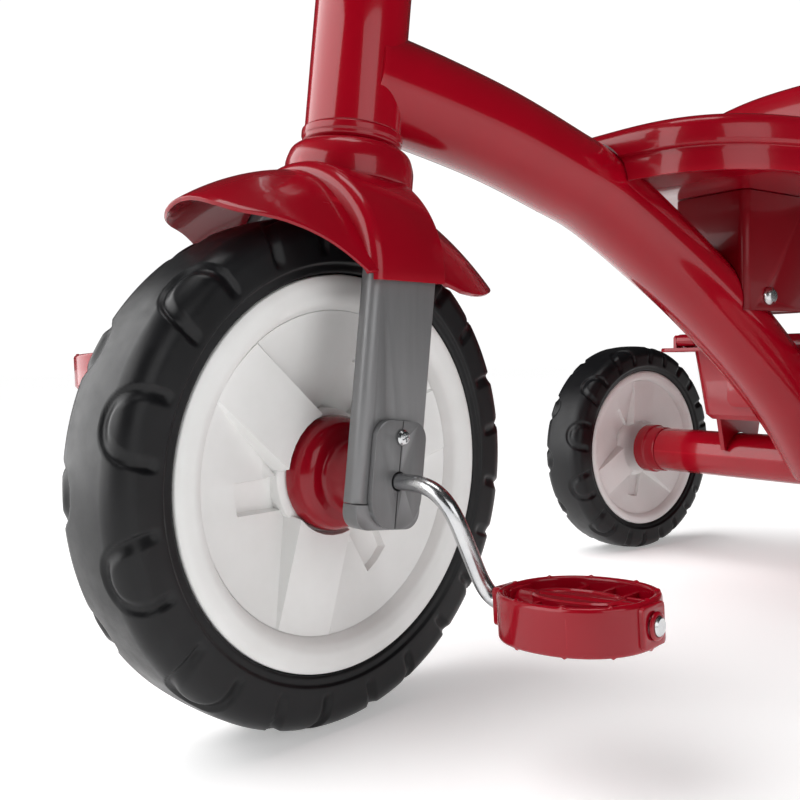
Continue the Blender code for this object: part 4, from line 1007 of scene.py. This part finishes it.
def make_rear_wheels():
    for side_name, side in SIDES:
        hub = shift(REAR, side * REAR_WHEEL_X)
        body = "rear_wheel_" + side_name
        make_tyre("rear_tyre_look_" + side_name, body, hub, REAR_RADIUS,
                  REAR_RIM_RADIUS, 0.0217, radians(20), 600, 48)
        make_rim("rear_rim_look_" + side_name, body, hub, REAR_RIM_RADIUS, 0.020,
                 0.0100, (0.0150, 0.0070, 0.0085, 0.0028), 0.026, 70.0 if side < 0 else 10.0)
        section = [(0, 0.0240), (0.0070, 0.0238), (0.0120, 0.0232), (0.0180, 0.0222), (0.0222, 0.0195),
                   (0.0243, 0.0160), (0.0250, 0.0120), (0.0246, 0.0104), (0.0140, 0.0103), (0.0140, 0.0190),
                   (0, 0.0205)]
        cap = lathe("rear_hub_cap_look_" + side_name, mirrored(section, side), hub, "x", 96, 0.0006)
        finish(cap, "red_plastic", body)


# ---------------------------------------------------------------- seat
def seat_outline(angle, inset):
    power = 2 / 3.5
    across = abs(cos(angle)) ** power * (1 if cos(angle) >= 0 else -1)
    along = abs(sin(angle)) ** power * (1 if sin(angle) >= 0 else -1)
    half_length = SEAT_LENGTH / 2
    y = SEAT_FRONT_Y + half_length + (half_length - inset) * along
    taper = 0.80 + 0.20 * min(1.0, max(0.0, (y - SEAT_FRONT_Y) / 0.195))
    return (0.120 - inset) * taper * across, y


def seat_rim_height(y):
    back = max(0.0, (y - SEAT_FRONT_Y - 0.115) / (SEAT_LENGTH - 0.115))
    return 0.324 + 0.081 * back ** 1.6


def seat_pan_height(y):
    nose = max(0.0, (SEAT_FRONT_Y + 0.085 - y) / 0.075)
    return 0.300 + 0.022 * min(1.0, nose) ** 1.3


def make_seat():
    """Bucket with a rolled rim and a stepped skirt."""
    around = 160
    key_rows = [(0.110, 0.0, 0.0), (0.085, 0.0, 0.0), (0.064, 0.0, 0.0), (0.050, 0.015, 0.0),
                (0.038, 0.075, 0.0), (0.030, 0.22, 0.0), (0.024, 0.42, 0.0), (0.0195, 0.68, 0.0),
                (0.0160, 0.90, 0.0), (0.0130, 0.99, 0.0), (0.0095, 1.0, -0.0004), (0.0060, 1.0, 0.0002),
                (0.0030, 1.0, 0.0018), (0.0010, 1.0, 0.0042), (0.0002, 1.0, 0.0075), (0.0, 1.0, 0.0120),
                (0.0003, 1.0, 0.0170), (0.0022, 1.0, 0.0182), (0.0030, 1.0, 0.0192), (0.0022, 1.0, 0.0250),
                (0.0020, 1.0, 0.0330)]
    rows = []
    for inset, climb, drop in key_rows:
        row = []
        for i in range(around):
            x, y = seat_outline(2 * pi * (i + 0.5) / around, inset)
            pan = seat_pan_height(y)
            row.append((x, y, pan + climb * (seat_rim_height(y) - pan) - drop))
        rows.append(row)
    rows = list(zip(*[smooth_line(column, 2) for column in zip(*rows)]))
    shell = surface("seat_shell_look", rows, WORLD, wrap_columns=True)
    edit = bmesh.new()
    edit.from_mesh(shell.data)
    open_edges = [edge for edge in edit.edges if edge.is_boundary]
    inner = [edge for edge in open_edges if max(abs(v.co.x) for v in edge.verts) < 0.06
             and min(v.co.z for v in edge.verts) > 0.295]
    bmesh.ops.holes_fill(edit, edges=inner, sides=0)
    bmesh.ops.recalc_face_normals(edit, faces=edit.faces)
    top = max(edit.faces, key=lambda face: face.calc_area())
    if top.normal.z < 0:
        bmesh.ops.reverse_faces(edit, faces=edit.faces)
    edit.to_mesh(shell.data)
    edit.free()
    modifier = shell.modifiers.new("thickness", "SOLIDIFY")
    modifier.thickness = 0.0025
    modifier.offset = -1.0
    modifier.use_even_offset = True
    settle(shell)
    notch = main_tube_room(0.0010)
    finish(cut(shell, notch, folded=True), "red_plastic", "frame", sharp=40)


def make_seat_mount():
    """Pedestal astride the main tube, its cross bolt and nut, and the seat's two screws."""
    bolt_at = Matrix.Translation((0, 0.1145, 0.2250))
    pedestal = prism("seat_pedestal_look", rounded_box_outline((-0.030, 0.088), (0.030, 0.168),
                                                               [0.006] * 4), 0.215, 0.2969, WORLD)
    notch = main_tube_room(0.0006)
    hole = lathe("bolt_room", round_bar(0.0033, -0.05, 0.05), bolt_at, "x", 32)
    # The pedestal takes the darker red copy: painted shade from the seat above it.
    finish(bevel(cut(pedestal, notch, hole), 0.0010, 3, 40), "dark_red_plastic", "frame")
    head = 0.0303
    bolt = lathe("seat_bolt_look", [(0, head + 0.004), (0.0040, head + 0.0038), (0.0058, head + 0.0024),
                                    (0.0065, head + 0.0008), (0.0065, head), (0.0030, head),
                                    (0.0030, -head - 0.007), (0, -head - 0.007)], bolt_at, "x", 48)
    finish(bolt, "zinc_steel", "frame", sharp=30)
    nut = prism("seat_bolt_nut_look", hexagon(0.0063), -head - 0.005, -head, bolt_at, "x")
    bore = lathe("nut_bore", round_bar(0.0031, -0.05, 0.05), bolt_at, "x", 32)
    finish(bevel(cut(nut, bore), 0.0004, 2, 40), "zinc_steel", "frame")
    for place_name, y in (("front", 0.110), ("rear", 0.150)):
        spot = Matrix.Translation((0, y, 0.3003))
        screw = lathe("seat_screw_look_" + place_name, [(0, 0.0022), (0.0020, 0.0021), (0.0036, 0.0014),
                                                        (0.0045, 0.0003), (0.0045, 0), (0.0020, 0),
                                                        (0.0020, -0.016), (0, -0.016)], spot, "z", 48)
        finish(cross_head(screw, spot, 0.0012), "zinc_steel", "frame", sharp=30)


def cross_head(screw, spot, depth, size=0.0024):
    """Press a cross recess into a screw head that faces local +Z."""
    tools = [block("cross", (-a, -b, depth), (a, b, depth + 0.006), spot)
             for a, b in ((size, 0.0005), (0.0005, size))]
    return cut(screw, *tools)


# ---------------------------------------------------------------- storage bin and lid
def bin_loops(inset, floor, top, rear_inset=0.010):
    """Rounded rectangles from the narrow floor up to the wide top."""
    loops = []
    for level, share in ((floor, 0.0), (floor + 0.004, 0.08), ((floor + top) / 2, 0.5), (top, 1.0)):
        half = 0.088 + 0.013 * share - inset
        rear = BIN_REAR_Y - rear_inset * (1 - share) - inset
        base = rounded_box_outline((-half, BIN_FRONT_Y + inset), (half, rear), [0.012 - inset * 0.8] * 4, 6)
        shrink = 0.965 if level == floor else 1.0
        middle = (BIN_FRONT_Y + rear) / 2
        loops.append([(x * shrink, middle + (y - middle) * shrink, level) for x, y in base])
    return loops


def make_bin():
    """Tapered box with a rounded brim, a tunnel for the main tube and saddles on the axle tube."""
    body = loft("storage_bin_look", bin_loops(0.0, BIN_FLOOR_Z, BIN_TOP_Z))
    inside = loft("inside", bin_loops(0.003, BIN_FLOOR_Z + 0.003, BIN_TOP_Z + 0.010))
    brim_outline = rounded_box_outline((-0.129, 0.1885), (0.129, 0.3652), [0.010, 0.010, 0.016, 0.016], 8)
    brim = loft("brim", [[(x * s, 0.277 + (y - 0.277) * s, z) for x, y in brim_outline] for s, z in (
        (0.990, 0.1889), (0.998, 0.1884), (1.0, 0.1890), (1.0, 0.1906), (0.996, 0.1918), (0.985, 0.1919))],
        WORLD)
    parts = [brim]
    for side in (1, -1):
        x = side * 0.078
        outline = [(REAR_AXLE_Y - 0.029, BIN_FLOOR_Z + 0.001), (REAR_AXLE_Y - 0.0225, 0.1035),
                   (REAR_AXLE_Y + 0.0225, 0.1035), (REAR_AXLE_Y + 0.029, BIN_FLOOR_Z + 0.001)]
        parts.append(prism("saddle", outline, x - 0.002, x + 0.002, WORLD, "x"))
        ear_x = side * 0.1095
        ear = [(0.1890, BIN_TOP_Z - 0.001), (0.1980, BIN_TOP_Z - 0.001), (0.1980, 0.2005), (0.1958, 0.2028),
               (0.1912, 0.2028), (0.1890, 0.2005)]
        parts.append(prism("ear", ear, ear_x - 0.0015, ear_x + 0.0015, WORLD, "x"))
    cut(body, *parts, operation="UNION")
    tunnel_walls = block("walls", (-0.0312, BIN_FRONT_Y - 0.01, 0.100), (0.0312, 0.2625, 0.1805))
    cut(inside, tunnel_walls)
    tunnel = block("tunnel", (-0.0282, BIN_FRONT_Y - 0.01, 0.090), (0.0282, 0.2595, 0.1775))
    seat = lathe("seat", round_bar(AXLE_TUBE_RADIUS + 0.0004, -0.12, 0.12), REAR, "x", 96)
    pins = lathe("pins", round_bar(PIN_BORE, -0.13, 0.13), LID, "x", 24)
    cut(body, inside, tunnel, seat, pins)
    finish(bevel(body, 0.0008, 2, 50), "red_plastic", "frame", sharp=30)


def make_brackets():
    """Plate on each side of the main tube, with the screw that holds the bin to it."""
    for side_name, side in SIDES:
        inner, outer = sorted((side * 0.020, side * 0.060))
        radii = [0.001, 0.008, 0.008, 0.001] if side > 0 else [0.008, 0.001, 0.001, 0.008]
        outline = rounded_box_outline((inner, 0.142), (outer, 0.176), radii)
        plate = prism("bin_bracket_look_" + side_name, outline, 0.1932, 0.1962, WORLD, "y")
        notch = main_tube_room(-0.0004)
        finish(bevel(cut(plate, notch), 0.0006, 2, 50), "red_paint", "frame")
        spot = Matrix.Translation((side * 0.044, 0.1929, 0.160)) @ FACING_FRONT
        screw = lathe("bin_screw_look_" + side_name, [(0, 0.0030), (0.0022, 0.0029), (0.0042, 0.0022),
                                                      (0.0058, 0.0008), (0.0060, 0), (0.0022, 0),
                                                      (0.0022, -0.012), (0, -0.012)], spot, "z", 48)
        finish(cross_head(screw, spot, 0.0016), "zinc_steel", "frame", sharp=30)


def make_lid():
    """Shallow crowned lid with a raised border and two hinge knuckles."""
    bottom = BIN_TOP_Z + 0.0003 - LID.translation.z
    front, rear, half = 0.0070, BIN_REAR_Y - LID.translation.y, 0.124
    middle = (front + rear) / 2
    outline = rounded_box_outline((-half, front), (half, rear), [0.008, 0.008, 0.016, 0.016], 8)
    grid = []
    for inset, level in ((0.0, 0.0), (0.0, 0.0018), (0.0015, 0.0050), (0.0040, 0.0082), (0.0070, 0.0090),
                         (0.0120, 0.0090), (0.0150, 0.0078), (0.0180, 0.0074), (0.060, 0.0080)):
        sx = (half - inset) / half
        sy = ((rear - front) / 2 - inset) / ((rear - front) / 2)
        grid.append([(x * sx, middle + (y - middle) * sy, bottom + level) for x, y in outline])
    lid = loft("bin_lid_look", grid, LID)
    inside = block("lid_inside", (-half + 0.010, front + 0.006, bottom - 0.010),
                   (half - 0.010, rear - 0.012, bottom + 0.0052), LID)
    cut(lid, inside)
    parts = []
    for side in (1, -1):
        x = side * 0.099
        parts.append(lathe("knuckle", round_bar(0.0052, -0.0085, 0.0085), shift(LID, x), "x", 48, 0.0006))
        parts.append(block("arm", (x - 0.0085, 0.0, -0.0020), (x + 0.0085, 0.0125, 0.0030), LID))
    cut(lid, *parts, operation="UNION")
    pins = lathe("pins", round_bar(PIN_BORE, -0.13, 0.13), LID, "x", 24)
    finish(cut(lid, pins), "red_plastic", "lid", sharp=30)
    for side_name, side in SIDES:
        start, end = sorted((side * 0.0920, side * 0.1125))
        pin = lathe("lid_pin_look_" + side_name, round_bar(0.0020, start, end), LID, "x", 32, 0.0004)
        finish(pin, "zinc_steel", "frame")


# ---------------------------------------------------------------- studio
WORLD_FILL = 0.16       # the white room as the surfaces' colour sees it
WORLD_GLOSS = 0.03      # as reflections see it: dark card round the softboxes
WORLD_SEEN = 1.05       # as the camera sees it
CAMERA_PLACE = (0.4133, -0.4702, 0.1806)
CAMERA_AZIMUTH = 54.94
CAMERA_ELEVATION = 2.21
CAMERA_ROLL = -0.68
CAMERA_LENS = 41.715


def make_floor():
    """Pale floor, wide enough to run out of every view."""
    floor = piece("studio_floor", [(-30, -30, -0.0004), (30, -30, -0.0004), (30, 30, -0.0004),
                                   (-30, 30, -0.0004)], [(0, 1, 2, 3)])
    nodes = Nodes("pale_floor")
    mottled = nodes.mix(nodes.span(nodes.noise(0.6, 3, 0.5), 0.0, 1.0), (0.90, 0.90, 0.90),
                        (0.92, 0.92, 0.92))
    nodes.link(mottled, nodes.shader.inputs["Base Color"])
    nodes.set(Roughness=0.85, Specular_IOR_Level=0.1, Emission_Color=(1, 1, 1, 1), Emission_Strength=0.32)
    floor.data.materials.append(nodes.material)


def soft_light(name, place, aim, size, power, shapes_only=False, fills_only=False):
    """Softbox; one that shapes only shows in the gloss, and one that fills only lights the colour."""
    data = bpy.data.lights.new(name, "AREA")
    data.shape = "RECTANGLE"
    data.size, data.size_y = size
    data.energy = power
    lamp = bpy.data.objects.new(name, data)
    bpy.context.scene.collection.objects.link(lamp)
    lamp.location = place
    lamp.rotation_euler = (Vector(aim) - Vector(place)).to_track_quat("-Z", "Y").to_euler()
    lamp.visible_diffuse = not shapes_only
    lamp.visible_glossy = not fills_only


def make_lights():
    world = bpy.data.worlds.new("studio")
    bpy.context.scene.world = world
    world.use_nodes = True
    tree = world.node_tree
    back = tree.nodes["Background"]
    back.inputs["Color"].default_value = (1, 1, 1, 1)
    path = tree.nodes.new("ShaderNodeLightPath")
    mixes = [tree.nodes.new("ShaderNodeMix") for _ in range(2)]
    for mix, ray, level in zip(mixes, ("Is Glossy Ray", "Is Camera Ray"), (WORLD_GLOSS, WORLD_SEEN)):
        tree.links.new(path.outputs[ray], mix.inputs["Factor"])
        mix.inputs["B"].default_value = level
    mixes[0].inputs["A"].default_value = WORLD_FILL
    tree.links.new(mixes[0].outputs["Result"], mixes[1].inputs["A"])
    tree.links.new(mixes[1].outputs["Result"], back.inputs["Strength"])
    sun = bpy.data.lights.new("overhead", "SUN")
    sun.energy = 2.3
    sun.angle = radians(50)
    lamp = bpy.data.objects.new("overhead", sun)
    bpy.context.scene.collection.objects.link(lamp)
    lamp.rotation_euler = Vector((0.25, 0.55, -1.0)).to_track_quat("-Z", "Y").to_euler()
    lamp.visible_glossy = False
    soft_light("left_fill", (-0.95, -1.55, 0.75), (0, -0.1, 0.2), (1.3, 1.5), 16, fills_only=True)
    soft_light("right_fill", (1.75, 0.05, 0.75), (0, 0.05, 0.2), (0.9, 1.3), 9, fills_only=True)
    soft_light("left_gloss", (-0.75, -1.50, 0.75), (0, -0.1, 0.25), (2.8, 1.5), 44, shapes_only=True)
    soft_light("right_gloss", (2.15, -0.27, 0.85), (0, 0.05, 0.2), (1.5, 1.1), 9, shapes_only=True)
    soft_light("top_gloss", (0.2, -0.4, 2.2), (0, 0, 0.2), (1.2, 0.7), 10, shapes_only=True)


def make_camera():
    azimuth, elevation, roll = (radians(a) for a in (CAMERA_AZIMUTH, CAMERA_ELEVATION, CAMERA_ROLL))
    back = Vector((sin(azimuth) * cos(elevation), -cos(azimuth) * cos(elevation), sin(elevation)))
    right = Vector((cos(azimuth), sin(azimuth), 0))
    up = back.cross(right)
    turned_right = right * cos(roll) + up * sin(roll)
    turned_up = up * cos(roll) - right * sin(roll)
    data = bpy.data.cameras.new("camera")
    data.lens = CAMERA_LENS
    data.sensor_width = 36.0
    data.clip_start = 0.01
    camera = bpy.data.objects.new("camera", data)
    bpy.context.scene.collection.objects.link(camera)
    camera.matrix_world = axes(CAMERA_PLACE, turned_right, turned_up, back)
    bpy.context.scene.camera = camera


# ---------------------------------------------------------------- assembly
make_front_wheel()
make_crank()
make_pedal("left", 1)
make_pedal("right", -1)
make_fork()
make_fender()
make_column()
make_handlebar()
make_head()
make_main_tube()
make_rear_axle()
make_rear_wheels()
make_seat()
make_seat_mount()
make_bin()
make_brackets()
make_lid()
make_floor()
make_lights()
make_camera()
bpy.context.scene.view_settings.view_transform = "Standard"
